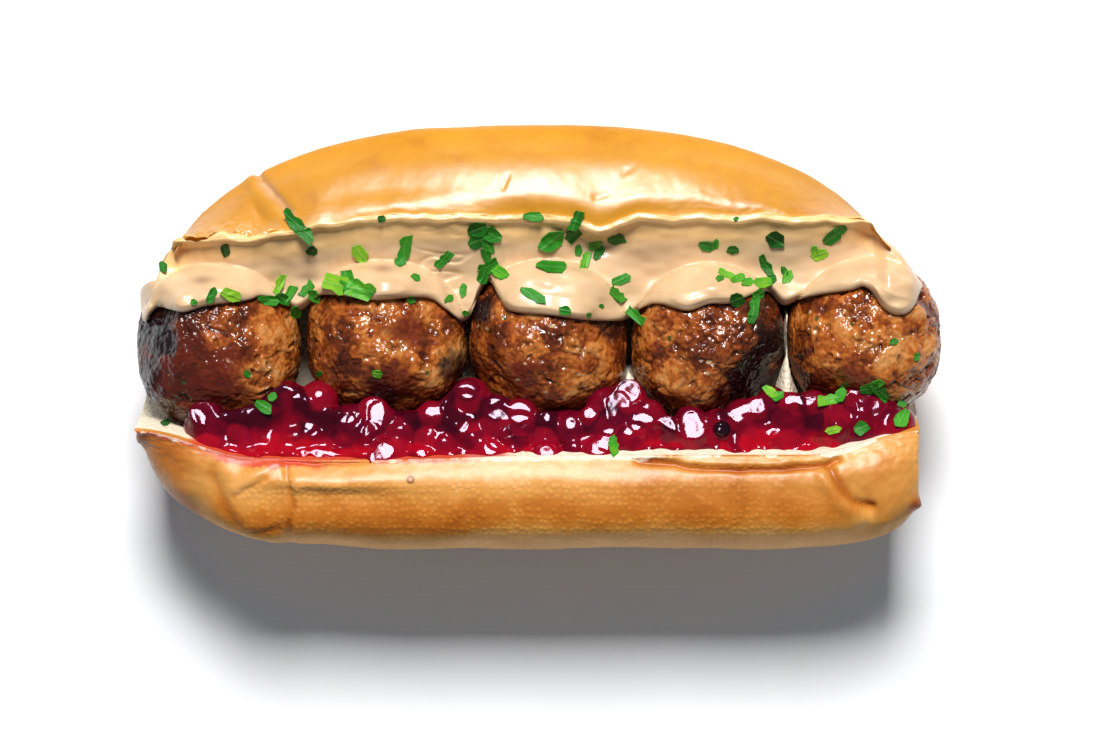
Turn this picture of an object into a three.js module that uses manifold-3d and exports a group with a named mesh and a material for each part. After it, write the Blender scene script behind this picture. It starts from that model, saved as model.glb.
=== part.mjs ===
// A meatball submarine sandwich. A glazed roll is slit along one side and opened like a book, and it
// lies on its uncut spine with the slit facing up. Five fried meatballs sit in a row in the slit, with
// cream sauce poured along the domed half, berry jam along the flat half, and chopped parsley on top.
// Millimetres. +X runs along the roll, +Y points to the domed half and +Z up.
import * as THREE from "three";
import { mergeVertices } from "three/addons/utils/BufferGeometryUtils.js";
import Module from "manifold-3d";

const wasm = await Module();
wasm.setup();

// Driving sizes
const fitGap = 0.35; // clearance between two touching pieces
const meatballHeight = 36; // centre of the row above the table
const settledHalf = 11.5; // half width of the flat that the spine has settled to
const crumbSeed = 4;

const finishes = {
  roll: { color: 0xe39a36, roughness: 0.45 },
  meatball: { color: 0x7a3c1c, roughness: 0.5 },
  sauce: { color: 0xe9c193, roughness: 0.3 },
  jam: { color: 0x8c0a18, roughness: 0.15 },
};

const mix = (a, b, t) => a + (b - a) * t;
const clamp = (v, low, high) => Math.min(high, Math.max(low, v));
const smoothStep = (low, high, v) => {
  const t = clamp((v - low) / (high - low), 0, 1);
  return t * t * (3 - 2 * t);
};
const bump = (v, centre, width) => Math.exp(-(((v - centre) / width) ** 2));

// The larger of several heights, with the corners between them rounded by softness.
function softMax(values, softness) {
  const top = Math.max(...values);
  const sum = values.reduce((s, v) => s + Math.exp((v - top) / softness), 0);
  return top + softness * Math.log(sum);
}

// Smooth value noise from -1 to 1.
function cellValue(i, j, k, seed) {
  const s = Math.sin(i * 127.1 + j * 311.7 + k * 74.7 + seed * 19.3) * 43758.5453;
  return 2 * (s - Math.floor(s)) - 1;
}

function noise(x, y, z, seed) {
  const [i, j, k] = [Math.floor(x), Math.floor(y), Math.floor(z)];
  const [u, v, w] = [x - i, y - j, z - k].map((t) => t * t * (3 - 2 * t));
  let sum = 0;
  for (const a of [0, 1])
    for (const b of [0, 1])
      for (const c of [0, 1])
        sum += cellValue(i + a, j + b, k + c, seed) * (a ? u : 1 - u) * (b ? v : 1 - v) * (c ? w : 1 - w);
  return sum;
}

// Catmull-Rom through a list of points of any size, at t from 0 to 1.
function splineAt(points, t) {
  const last = points.length - 1;
  const at = clamp(t, 0, 1) * last;
  const i = Math.min(Math.floor(at), last - 1);
  const f = at - i;
  const [p, q, r, s] = [-1, 0, 1, 2].map((d) => points[clamp(i + d, 0, last)]);
  return q.map((_, k) => {
    const [a, b, c, d] = [p[k], q[k], r[k], s[k]];
    return 0.5 * (2 * b + (c - a) * f + (2 * a - 5 * b + 4 * c - d) * f * f + (3 * b - a - 3 * c + d) * f ** 3);
  });
}

// Meshes and solids

function geometryOf(vertices, triangles) {
  const geometry = new THREE.BufferGeometry();
  geometry.setAttribute("position", new THREE.Float32BufferAttribute(vertices.flat(), 3));
  geometry.setIndex(triangles.flat());
  return geometry;
}

function solidOf(geometry) {
  const bare = new THREE.BufferGeometry();
  bare.setAttribute("position", geometry.getAttribute("position"));
  bare.setIndex(geometry.index);
  const merged = mergeVertices(bare, 1e-4);
  return new wasm.Manifold(
    new wasm.Mesh({
      numProp: 3,
      vertProperties: merged.attributes.position.array,
      triVerts: new Uint32Array(merged.index.array),
    }),
  );
}

function geometryFrom(solid) {
  const made = solid.getMesh();
  const geometry = new THREE.BufferGeometry();
  geometry.setAttribute("position", new THREE.BufferAttribute(made.vertProperties, 3));
  geometry.setIndex(new THREE.BufferAttribute(made.triVerts, 1));
  return geometry;
}

// The largest body of a solid, without the loose scraps that a cut leaves.
const mainBody = (solid) =>
  solid.decompose().reduce((best, body) => (body.volume() > best.volume() ? body : best));

// The same solid with its surface moved outwards.
function grown(solid, distance) {
  const geometry = geometryFrom(solid);
  geometry.computeVertexNormals();
  const { position, normal } = geometry.attributes;
  const vertices = [];
  for (let i = 0; i < position.count; i++)
    vertices.push(
      ["getX", "getY", "getZ"].map((get) => position[get](i) + distance * normal[get](i)),
    );
  const triangles = [...geometry.index.array];
  return solidOf(geometryOf(vertices, [triangles]));
}

// Meatballs: each is an uneven ellipsoid, pressed flat by its neighbours and where it was seared.
// centre x and y, half sizes along x, y and z, gap planes on both sides, and seared flats.
const meatballs = [
  { name: "meatball_1", x: -67.5, y: -2.2, half: [17.7, 17.4, 16.6], sides: [18.4, 17.8], seed: 11,
    flats: [[-0.78, 0.1, 0.62, 15.6], [0.1, -0.62, 0.78, 16.4]] },
  { name: "meatball_2", x: -32.1, y: -0.8, half: [17.4, 16.8, 17.0], sides: [17.7, 17.2], seed: 23,
    flats: [[0.0, -0.8, 0.6, 15.6], [0.45, 0.2, 0.87, 16.4]] },
  { name: "meatball_3", x: 1.9, y: -0.9, half: [17.2, 16.9, 17.0], sides: [17.0, 16.9], seed: 37,
    flats: [[-0.5, -0.55, 0.67, 16.2], [0.72, 0.1, 0.69, 16.2]] },
  { name: "meatball_4", x: 35.6, y: -1.5, half: [16.6, 16.7, 16.9], sides: [16.6, 16.6], seed: 41,
    flats: [[0.6, -0.6, 0.53, 13.6], [-0.4, -0.1, 0.91, 16.3]] },
  { name: "meatball_5", x: 68.6, y: -0.5, half: [16.4, 16.6, 16.7], sides: [16.6, 17.2], seed: 59,
    flats: [[-0.3, -0.75, 0.59, 16.0], [0.25, 0.1, 0.96, 16.2]] },
];

const flatSoftness = 0.7;

function meatballRadius(ball, nx, ny, nz) {
  const [a, b, c] = ball.half;
  const squareness = 2.25;
  const parts = [nx / a, ny / b, nz / c].map((v) => Math.abs(v) ** squareness);
  const round = (parts[0] + parts[1] + parts[2]) ** (-1 / squareness);
  const reaches = [[-1, 0, 0, ball.sides[0]], [1, 0, 0, ball.sides[1]], ...ball.flats]
    .map(([px, py, pz, reach]) => [nx * px + ny * py + nz * pz, reach])
    .filter(([along]) => along > 0.4)
    .map(([along, reach]) => -reach / along);
  const pressed = -softMax([-round, ...reaches], flatSoftness);
  const lumps = 0.55 * noise(nx * 2.1, ny * 2.1, nz * 2.1, ball.seed);
  const crags = 0.42 * noise(nx * 5.3, ny * 5.3, nz * 5.3, ball.seed + 3);
  const sideRoom = 1 - 0.8 * smoothStep(0.75, 0.95, Math.abs(nx));
  return pressed + (lumps + crags) * sideRoom;
}

function meatballGeometry(ball, extra, detail) {
  const geometry = new THREE.IcosahedronGeometry(1, detail);
  geometry.deleteAttribute("normal");
  geometry.deleteAttribute("uv");
  const merged = mergeVertices(geometry, 1e-4);
  const position = merged.getAttribute("position");
  const way = new THREE.Vector3();
  for (let i = 0; i < position.count; i++) {
    way.fromBufferAttribute(position, i).normalize();
    const radius = meatballRadius(ball, way.x, way.y, way.z) + extra;
    position.setXYZ(i, ball.x + way.x * radius, ball.y + way.y * radius, meatballHeight + way.z * radius);
  }
  return merged;
}

// The roll: a section with a wall round the slit, carried along X and closing at both ends.
// Mid-length section as [y, z], from the domed half's lip round the outside to the flat half's lip.
const outerSection = [
  [24.8, 51.2], [29.4, 53.7], [38.4, 50.1], [44.6, 39.5], [43.0, 21.0], [33.0, 5.6], [settledHalf, -1.5],
  [-settledHalf, -1.5], [-31.0, 4.8], [-40.5, 19.5], [-45.2, 37.5], [-41.0, 50.2], [-30.0, 52.9], [-25.4, 50.8],
];
const innerSection = [
  [24.0, 50.2], [20.9, 40.0], [17.6, 30.6], [8.6, 18.6], [-8.6, 18.6], [-17.6, 30.6], [-20.9, 40.0], [-24.8, 49.8],
];
const lastShare = 0.985; // where the end's own rounding begins
const endRows = 3;
const rollStations = 30;
const rollRound = 26;

// Reach of both ends, each from the domed half's lip over the spine to the flat half's lip.
const leftReach = [[77.6], [84.0], [84.2]];
const rightReach = [[76.5], [80.4], [80.6]];
const spineBluntness = 3.2;

// The outline from above: half width, and length and bluntness to the left and to the right.
// The domed half tapers to both ends, and the flat half keeps a square right end.
const domedPlan = { half: 45, left: [83.2, 2.35], right: [77.5, 2.3] };
const flatPlan = { half: 45.8, left: [85, 4.0], right: [81.2, 8] };
const superellipse = (share, bluntness) => (1 - Math.min(Math.abs(share), 1) ** bluntness) ** (1 / bluntness);

// How far out a lip stands at a share of the length, as part of its distance at mid-length.
function lipSpread(share, side) {
  const leftEnd = 0.16 * smoothStep(0.4, 0.76, -share) + 0.42 * smoothStep(0.86, 1.04, -share);
  if (side > 0) return 1 - leftEnd - 0.42 * smoothStep(0.8, 1.02, share);
  return 1 + 0.04 * bump(share, -0.45, 0.35) - 0.2 * smoothStep(0.7, 1, Math.abs(share));
}

// Where the lips stand in plan, for the fillings to follow.
function lipLine(x, side) {
  const reach = (x < 0 ? leftReach : rightReach).at(side > 0 ? 0 : -1)[0];
  return innerSection.at(side > 0 ? 0 : -1)[0] * lipSpread(clamp(x / reach, -1, 1), side);
}

function planOutline(x, side) {
  const plan = side > 0 ? domedPlan : flatPlan;
  const [length, bluntness] = x < 0 ? plan.left : plan.right;
  return plan.half * superellipse(x / length, bluntness);
}

// The wall's thickness as part of the mid-length section's: by the outline above, and by the spine below.
function wallFullness(x, share, t) {
  const side = t < 0.5 ? 1 : -1;
  const crumbHalf = 19.6;
  const crumb = crumbHalf * mix(1, lipSpread(share, side), 0.7);
  const half = (side > 0 ? domedPlan : flatPlan).half;
  const beside = clamp((planOutline(x, side) - crumb) / (half - crumbHalf), 0.1, 1);
  const below = superellipse(share, spineBluntness);
  return mix(beside, below, smoothStep(0.3, 0.14, Math.abs(t - 0.5)));
}

// Folds, a knob, a tear and a loose flap on the crust, as height above its smooth form.
function crustRelief(x, t) {
  const flatHalf = smoothStep(0.62, 0.72, t);
  const domedHalf = 1 - smoothStep(0.28, 0.4, t);
  const knob = 2.1 * bump(x, -58.5, 9) * bump(t, 0.83, 0.07);
  const knobCrease = -1.7 * bump(x + 8 * (t - 0.85), -52.8, 1.9) * bump(t, 0.84, 0.09);
  const cornerFold = -1.1 * bump(x - 40 * (t - 0.85), -70.5, 2.2) * bump(t, 0.86, 0.06);
  const farFold = -1.9 * bump(x + 55 * (t - 0.87), 67.5, 2.6) * bump(t, 0.87, 0.05);
  const flap = 1.3 * bump(x, -45, 16) * bump(t, 0.95, 0.025) - 1.1 * bump(x, -42, 15) * bump(t, 0.9, 0.02);
  const tear = -1.5 * bump(x + 30 * (t - 0.1), -57.5, 2.6) * bump(t, 0.09, 0.06);
  const rough = smoothStep(-50, -58, x) * (1 - smoothStep(0.02, 0.1, t));
  const soft = 0.5 * noise(x / 15, t * 9, 0, crumbSeed) * smoothStep(0, 0.06, t) * smoothStep(1, 0.94, t);
  const settled = 1 - bump(t, 0.5, 0.07);
  return (
    settled *
    (flatHalf * (knob + knobCrease + cornerFold + farFold + flap) +
      domedHalf * (tear + 0.9 * rough * noise(x / 3.2, t * 30, 0, crumbSeed)) + soft)
  );
}

// One ring of the roll: share runs from -1 to 1 along it, and thin falls from 1 to 0 over an end's rounding.
function rollRing(share, thin) {
  const outer = [];
  const inner = [];
  const near = clamp(share, -lastShare, lastShare);
  for (let j = 0; j <= rollRound; j++) {
    const t = j / rollRound;
    const [reach] = splineAt(share < 0 ? leftReach : rightReach, t);
    const fullness = wallFullness(near * reach, near, t) * thin;
    const [innerY, innerZ] = splineAt(innerSection, t);
    const [outerY, outerZ] = splineAt(outerSection, t);
    const high = smoothStep(14, 50, innerZ);
    const y = innerY * mix(1, lipSpread(share, innerY), high);
    const z = innerZ - 3.2 * Math.abs(near) ** 5 * high;
    const [dy, dz] = [outerY - innerY, outerZ - innerZ];
    const relief = crustRelief(share * reach, t) * smoothStep(0, 0.35, fullness);
    const stretch = fullness + relief / Math.hypot(dy, dz);
    const limit = Math.max(planOutline(near * reach, innerY), Math.abs(y) + 1.5 * thin);
    const out = -softMax([-Math.abs(y + dy * stretch), -limit], 0.5 * thin);
    outer.push([share * reach, out * Math.sign(y), Math.max(z + dz * stretch, 0)]);
    inner.push(clearOfMeatballs([share * reach, y, z]));
  }
  return [...outer, ...inner.reverse()];
}

// A point of the crumb, pressed out of whichever meatball it would lie in.
function clearOfMeatballs(point) {
  const pressedGap = 0.9;
  const p = new THREE.Vector3(...point);
  for (const ball of meatballs) {
    const centre = new THREE.Vector3(ball.x, ball.y, meatballHeight);
    const way = p.clone().sub(centre).normalize();
    const keep = meatballRadius(ball, way.x, way.y, way.z) + pressedGap;
    if (p.distanceTo(centre) < keep) p.copy(centre).addScaledVector(way, keep);
  }
  return p.toArray();
}

function rollGeometry() {
  const turn = (k) => (k / endRows) * 1.36;
  const endShare = (k) => lastShare + (1 - lastShare) * Math.sin(turn(k));
  const rings = [];
  for (let k = endRows; k > 0; k--) rings.push(rollRing(-endShare(k), Math.cos(turn(k))));
  for (let i = 0; i <= rollStations; i++) {
    const even = (2 * i) / rollStations - 1;
    rings.push(rollRing(lastShare * mix(even, Math.sin((even * Math.PI) / 2), 0.55), 1));
  }
  for (let k = 1; k <= endRows; k++) rings.push(rollRing(endShare(k), Math.cos(turn(k))));
  const count = rings[0].length;
  const lastRing = (rings.length - 1) * count;
  const triangles = [];
  for (let i = 0; i < lastRing; i += count)
    for (let j = 0; j < count; j++) {
      const [a, b] = [i + j, i + ((j + 1) % count)];
      triangles.push([a, b + count, b], [a, a + count, b + count]);
    }
  for (let j = 0; j < rollRound; j++) {
    const [a, b, c, d] = [j, j + 1, count - 2 - j, count - 1 - j];
    triangles.push([a, b, c], [a, c, d]);
    triangles.push([lastRing + a, lastRing + c, lastRing + b], [lastRing + a, lastRing + d, lastRing + c]);
  }
  return geometryOf(rings.flat(), triangles);
}

// Fillings

// Height of the slit's wall over a point of the plan, on the domed side (1) or the flat side (-1).
function wallHeight(y, side) {
  const lip = Math.abs(innerSection.at(side > 0 ? 0 : -1)[0]);
  const out = (y * side) / lip;
  return out < 0.72 ? 26 : 30.6 + 19 * smoothStep(0.7, 1.02, out) + 8 * Math.max(0, out - 1);
}

// Height of a meatball's top over a point of the plan, falling away steeply beside it.
function meatballTop(ball, x, y) {
  const [dx, dy] = [x - ball.x, y - ball.y];
  const inside = 1 - (dx / ball.half[0]) ** 2 - (dy / ball.half[1]) ** 2;
  if (inside < 0.02) return meatballHeight + 30 * inside;
  let rise = ball.half[2] * Math.sqrt(inside);
  for (let i = 0; i < 6; i++) {
    const far = Math.hypot(dx, dy, rise);
    const reach = meatballRadius(ball, dx / far, dy / far, rise / far);
    rise = Math.sqrt(Math.max(reach * reach - dx * dx - dy * dy, 4));
  }
  return meatballHeight + rise;
}

// A bed of filling between two lines in plan, with a rule for its top and one for its depth.
function bedSolid({ from, to, lower, upper, top, depth, along, across }) {
  const vertices = [];
  const row = across + 3;
  for (let i = 0; i <= along; i++) {
    const x = mix(from, to, i / along);
    const [low, high] = [lower(x), upper(x)];
    for (let j = 0; j <= across; j++) {
      const y = mix(low, high, (1 - Math.cos((Math.PI * j) / across)) / 2);
      vertices.push([x, y, top(x, y, y - low, high - y)]);
    }
    for (const y of [high, low]) vertices.push([x, y, top(x, y, 0, 0) - depth(x)]);
  }
  const triangles = [];
  for (let i = 0; i < along * row; i += row)
    for (let j = 0; j < row; j++) {
      const [a, b] = [i + j, i + ((j + 1) % row)];
      triangles.push([a, b + row, b], [a, a + row, b + row]);
    }
  const lastRow = along * row;
  for (let j = 1; j < row - 1; j++)
    triangles.push([0, j, j + 1], [lastRow, lastRow + j + 1, lastRow + j]);
  return solidOf(geometryOf(vertices, triangles));
}

// Tongues of a filling's edge: each is where it stands, how wide it is and how far it reaches in Y.
const tongues = (list, x) => list.reduce((sum, [at, width, reach]) => sum + reach * bump(x, at, width), 0);

// Cream sauce: its lower edge hangs over the meatballs in tongues, and its upper edge follows the lip.
const sauceEnds = [-85, 80.6];
const sauceTongues = [
  [-74.5, 4, -2.6], [-50.8, 3.2, -2.6], [-39, 9, 1.2], [-16, 3.4, -4.4], [-10.3, 2.3, 5.2], [9, 12, -4.3],
  [31, 3.2, -1.6], [48.6, 3, 2.2], [52.6, 2, -1.2], [68.6, 3, 3.2], [75.2, 2.6, -2.8],
];
const saucePool = 43.6; // level between the meatballs and the domed half
const sauceCoat = 2.1; // thickness over the meatballs

function endClosing(x, ends, length) {
  const inside = clamp(Math.min(x - ends[0], ends[1] - x) / length, 0, 1);
  return Math.sqrt(1 - (1 - inside) ** 2);
}

function sauceEdge(x, side) {
  const middle = 10.6;
  const edge = side > 0 ? lipLine(x, 1) - 0.6 - 1.6 * bump(x, 11, 5) : 7.2 + tongues(sauceTongues, x);
  return mix(middle + side * 0.8, edge, endClosing(x, sauceEnds, 8));
}

function sauceTop(x, y, fromLower, fromUpper) {
  const hills = meatballs.map((ball) => meatballTop(ball, x, y) + sauceCoat);
  const swell = 0.7 * noise(x / 9, y / 6, 0, 71) + 0.25 * noise(x / 4, y / 4, 0, 73);
  const body = softMax([...hills, saucePool + swell, wallHeight(y, 1) + 0.7], 1.5);
  const bead = Math.sqrt(1 - (1 - clamp(fromLower / 2.4, 0, 1)) ** 2);
  const sag = 5 * smoothStep(-80, -86, x) + 2 * smoothStep(77, 81, x);
  return body - 1.2 * (1 - bead) - 0.8 * (1 - smoothStep(0, 1.6, fromUpper)) - sag;
}

// Berry jam: jelly between the meatballs and the flat half, rising between the meatballs, full of berries.
const jamEnds = [-74.6, 78.8];
const jamRises = [[-52.4, 6.5, 5.6], [-15.4, 5, 6.2], [18, 4.4, 6.6], [30, 5, -1.6], [50, 9, 2.8], [64, 12, 3]];
const jamLevel = 46.2;

function jamEdge(x, side) {
  const edge = side > 0 ? -15.8 + tongues(jamRises, x) : lipLine(x, -1) + 0.5;
  return mix(-18.6 + side * 0.8, edge, endClosing(x, jamEnds, 5));
}

function jamTop(x, y, fromLower, fromUpper) {
  const swell = 0.8 * noise(x / 5, y / 5, 0, 83) + 2.2 * smoothStep(13, 22, -y);
  const body = softMax([jamLevel + swell, wallHeight(y, -1) + 0.9], 0.9);
  const edge = clamp(Math.min(fromLower / 1.8, fromUpper / 2.6), 0, 1);
  const rounding = Math.sqrt(1 - (1 - edge) ** 2);
  return body - 1.6 * (1 - rounding) - 5 * smoothStep(73, 79, x) - 3 * smoothStep(-71, -75, x);
}

// Berries stand in an uneven row along the jam, with a looser second row nearer the meatballs.
const berryRadius = 4.1;
const berryRows = [
  { count: 16, first: -68.6, pitch: 9.1, across: 0.3, lift: 1.5 },
  { count: 7, first: -51.6, pitch: 17.2, across: 0.72, lift: 0.9 },
];

function berrySolids() {
  return berryRows.flatMap((line, k) =>
    Array.from({ length: line.count }, (_, i) => {
      const x = line.first + i * line.pitch + 1.2 * cellValue(i, k, 0, 5);
      const y = mix(jamEdge(x, -1), jamEdge(x, 1), line.across + 0.08 * cellValue(i, k, 1, 5));
      const radius = berryRadius * (1 + 0.09 * cellValue(i, k, 2, 5));
      const geometry = new THREE.IcosahedronGeometry(radius, 1);
      geometry.deleteAttribute("normal");
      geometry.deleteAttribute("uv");
      geometry.translate(x, y, jamTop(x, y, 9, 9) - radius + line.lift + 0.5 * cellValue(i, k, 3, 5));
      return solidOf(mergeVertices(geometry, 1e-4));
    }),
  );
}

// Chopped parsley, each a thin wavy scrap: [x, y, length, width, turn in degrees].
const parsleyOnSauce = [
  [-48.8, 22.0, 8.4, 2.8, -42], [-79.6, 14.2, 3.2, 1.8, -80], [-28.5, 17.8, 4.8, 2.1, 78], [-19.8, 15.8, 4.2, 2.0, 45],
  [-11.2, 20.0, 5.8, 4.2, 20], [-10.0, 14.6, 5.8, 4.0, -15], [2.9, 19.6, 6.2, 3.4, 38], [7.6, 21.4, 4.6, 2.8, -70],
  [2.4, 14.6, 7.0, 2.2, -4], [-1.0, 8.8, 6.4, 2.0, -32], [-40.0, 10.6, 8.6, 3.6, -14], [-50.8, 10.4, 6.2, 3.2, 55],
  [-65.4, 9.6, 4.4, 2.6, -30], [17.6, 11.8, 5.0, 1.9, 24], [47.4, 17.8, 4.6, 3.8, -30], [46.4, 13.0, 5.2, 2.6, -40],
  [60.4, 18.8, 5.0, 2.0, 35], [58.0, 15.2, 3.4, 3.0, 20],
];
const parsleyOnJam = [
  [-58.6, -17.4, 4.6, 2.4, -32], [61.6, -16.4, 5.4, 3.2, 12], [70.0, -16.0, 5.2, 2.8, 10], [16.2, -21.4, 3.8, 2.2, -72],
];
const leafOutline = [[-0.5, 0.1], [-0.1, 0.45], [0.4, 0.38], [0.5, -0.2], [0, -0.5], [-0.4, -0.35]];
const leafThickness = 0.6;

function leafSolid([x, y, length, width, degrees], surface) {
  const angle = THREE.MathUtils.degToRad(degrees);
  const vertices = [];
  for (const side of [-1, 1])
    for (const [u, v] of [[0, 0], ...leafOutline]) {
      const px = x + u * length * Math.cos(angle) - v * width * Math.sin(angle);
      const py = y + u * length * Math.sin(angle) + v * width * Math.cos(angle);
      const wave = 0.35 * Math.sin(7 * u + 2 * x);
      vertices.push([px, py, surface(px, py, 9, 9) + 0.3 + wave + (side * leafThickness) / 2]);
    }
  const count = leafOutline.length;
  const over = count + 1;
  const triangles = [];
  for (let i = 0; i < count; i++) {
    const [a, b] = [1 + i, 1 + ((i + 1) % count)];
    triangles.push([0, a, b], [over, over + b, over + a], [a, over + a, over + b], [a, over + b, b]);
  }
  return solidOf(geometryOf(vertices, triangles));
}

// Assembly: the fillings are cut to fit what they lie on.
const sandwich = new THREE.Group();

function addPiece(name, solid, finish) {
  const piece = new THREE.Mesh(geometryFrom(solid), new THREE.MeshStandardMaterial(finish));
  piece.name = name;
  sandwich.add(piece);
}

const meatballDetail = 4;
const meatballRoom = meatballs.map((ball) => solidOf(meatballGeometry(ball, fitGap, meatballDetail)));
const clearOf = (solid, rooms) => rooms.reduce((left, room) => left.subtract(room), solid);

const rollSolid = mainBody(clearOf(solidOf(rollGeometry()), meatballRoom));
const rollRoom = grown(rollSolid, fitGap);

const sauceBed = bedSolid({
  from: sauceEnds[0], to: sauceEnds[1], lower: (x) => sauceEdge(x, -1), upper: (x) => sauceEdge(x, 1),
  top: sauceTop, depth: (x) => 2 + 6 * endClosing(x, sauceEnds, 9), along: 44, across: 6,
});
const sauceLeaves = parsleyOnSauce.map((leaf) => leafSolid(leaf, sauceTop));
const sauceWhole = sauceLeaves.reduce((body, leaf) => body.add(leaf), sauceBed);
const sauceSolid = mainBody(clearOf(sauceWhole, [...meatballRoom, rollRoom]));

const jamBed = bedSolid({
  from: jamEnds[0], to: jamEnds[1], lower: (x) => jamEdge(x, -1), upper: (x) => jamEdge(x, 1),
  top: jamTop, depth: () => 9, along: 32, across: 4,
});
const jamLeaves = parsleyOnJam.map((leaf) => leafSolid(leaf, jamTop));
const jamWhole = [...berrySolids(), ...jamLeaves].reduce((body, piece) => body.add(piece), jamBed);
const jamSolid = mainBody(clearOf(jamWhole, [...meatballRoom, rollRoom]));

addPiece("roll", rollSolid, finishes.roll);
for (const ball of meatballs)
  addPiece(ball.name, solidOf(meatballGeometry(ball, 0, meatballDetail)), finishes.meatball);
addPiece("cream_sauce", sauceSolid, finishes.sauce);
addPiece("berry_jam", jamSolid, finishes.jam);

// The origin is the middle of the footprint, on the table.
const bounds = new THREE.Box3().setFromObject(sandwich);
const middle = bounds.getCenter(new THREE.Vector3());
sandwich.position.set(-middle.x, -middle.y, -bounds.min.z);

export default sandwich;
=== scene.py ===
# Looks of a meatball submarine sandwich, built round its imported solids.
# Shapes are worked out in millimetres, as the solids were, and the meshes are in metres.
import math
from itertools import product

import bmesh
import bpy
import numpy as np
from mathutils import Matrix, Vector


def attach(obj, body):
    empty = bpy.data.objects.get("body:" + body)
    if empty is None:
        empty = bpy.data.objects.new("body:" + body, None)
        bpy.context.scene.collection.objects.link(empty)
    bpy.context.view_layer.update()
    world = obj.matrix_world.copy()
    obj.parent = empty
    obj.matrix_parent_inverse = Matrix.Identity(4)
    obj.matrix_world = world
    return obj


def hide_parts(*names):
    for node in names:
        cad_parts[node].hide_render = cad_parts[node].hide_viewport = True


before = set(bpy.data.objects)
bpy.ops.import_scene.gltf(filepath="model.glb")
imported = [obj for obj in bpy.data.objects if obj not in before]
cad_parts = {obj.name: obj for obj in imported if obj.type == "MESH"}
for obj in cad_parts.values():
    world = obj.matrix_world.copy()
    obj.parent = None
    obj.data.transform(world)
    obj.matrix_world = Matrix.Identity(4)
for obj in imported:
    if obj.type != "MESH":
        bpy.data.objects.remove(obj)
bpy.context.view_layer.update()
scene = bpy.context.scene
designShift = np.array([0.1066, 0.3994, 0.0])  # the solids are centred on their footprint
ballHeight = 36.0  # centres of the meatballs above the table
print("frame: loaded", len(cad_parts), "solids")


# Small sums that the shapes share

def mix(a, b, t):
    return a + (b - a) * t


def smoothStep(low, high, v):
    t = np.clip((v - low) / (high - low), 0, 1)
    return t * t * (3 - 2 * t)


def hill(v, centre, width):
    return np.exp(-(((v - centre) / width) ** 2))


def roundEdge(share):
    # A quarter circle from 0 to 1
    return np.sqrt(1 - (1 - np.clip(share, 0, 1)) ** 2)


def softMax(values, softness):
    top = np.maximum.reduce(np.broadcast_arrays(*values))
    softness = np.maximum(softness, 1e-6)
    return top + softness * np.log(sum(np.exp((v - top) / softness) for v in values))


def splineAt(points, t):
    # Catmull-Rom through a list of points
    points = np.asarray(points, float)
    last = len(points) - 1
    at = np.clip(t, 0, 1) * last
    start = np.minimum(np.floor(at).astype(int), last - 1)
    f = (at - start)[..., None]
    a, b, c, d = (points[np.clip(start + step, 0, last)] for step in (-1, 0, 1, 2))
    return 0.5 * (2 * b + (c - a) * f + (2 * a - 5 * b + 4 * c - d) * f**2 + (3 * b - a - 3 * c + d) * f**3)


def cellValue(i, j, k, seed):
    s = np.sin(i * 127.1 + j * 311.7 + k * 74.7 + seed * 19.3) * 43758.5453
    return 2 * (s - np.floor(s)) - 1


def valueNoise(x, y, z, seed):
    # The same soft noise that shapes the solids, from -1 to 1
    at = np.broadcast_arrays(x, y, z)
    low = [np.floor(v) for v in at]
    share = [(v - w) ** 2 * (3 - 2 * (v - w)) for v, w in zip(at, low)]
    total = 0
    for a, b, c in product((0, 1), repeat=3):
        weight = 1
        for side, part in zip((a, b, c), share):
            weight = weight * (part if side else 1 - part)
        total = total + weight * cellValue(low[0] + a, low[1] + b, low[2] + c, seed)
    return total


def hashed(i, j, k, seed):
    # A repeatable random number from 0 to 1 for each whole-number cell
    h = (i * 73856093 ^ j * 19349663 ^ k * 83492791 ^ (seed * 2654435761)) & 0xFFFFFFFF
    h = ((h ^ (h >> 15)) * 2246822519) & 0xFFFFFFFF
    h = ((h ^ (h >> 13)) * 3266489917) & 0xFFFFFFFF
    return (h ^ (h >> 16)) / 4294967295.0


def fineNoise(points, seed, octaves=1):
    # Gradient noise from about -1 to 1, for points of shape (n, 3) already divided by the size wanted
    total, height = 0, 1.0
    for octave in range(octaves):
        at = points * 2**octave + 17.3 * octave
        cell = np.floor(at).astype(np.int64)
        inside = at - cell
        ease = inside**3 * (inside * (inside * 6 - 15) + 10)
        for corner in product((0, 1), repeat=3):
            c = cell + np.array(corner)
            turn = hashed(c[:, 0], c[:, 1], c[:, 2], seed + octave) * 2 * math.pi
            rise = hashed(c[:, 0], c[:, 1], c[:, 2], seed + octave + 50) * 2 - 1
            flat = np.sqrt(1 - rise**2)
            d = inside - np.array(corner)
            slope = d[:, 0] * np.cos(turn) * flat + d[:, 1] * np.sin(turn) * flat + d[:, 2] * rise
            weight = np.prod(np.where(np.array(corner) == 1, ease, 1 - ease), axis=1)
            total = total + 1.7 * height * slope * weight
        height *= 0.5
    return total


def gridNoise(points, size, seed, octaves=1, offset=0):
    # Fine noise at points of any shape, for waves of this size in millimetres
    flat = points.reshape(-1, 3) / np.array(size) + offset
    return fineNoise(flat, seed, octaves).reshape(points.shape[:-1])


def lineNoise(x, size, seed, octaves=1):
    # The same along the roll only
    return gridNoise(np.stack([x, 0 * x, 0 * x], axis=-1), size, seed, octaves)


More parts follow.
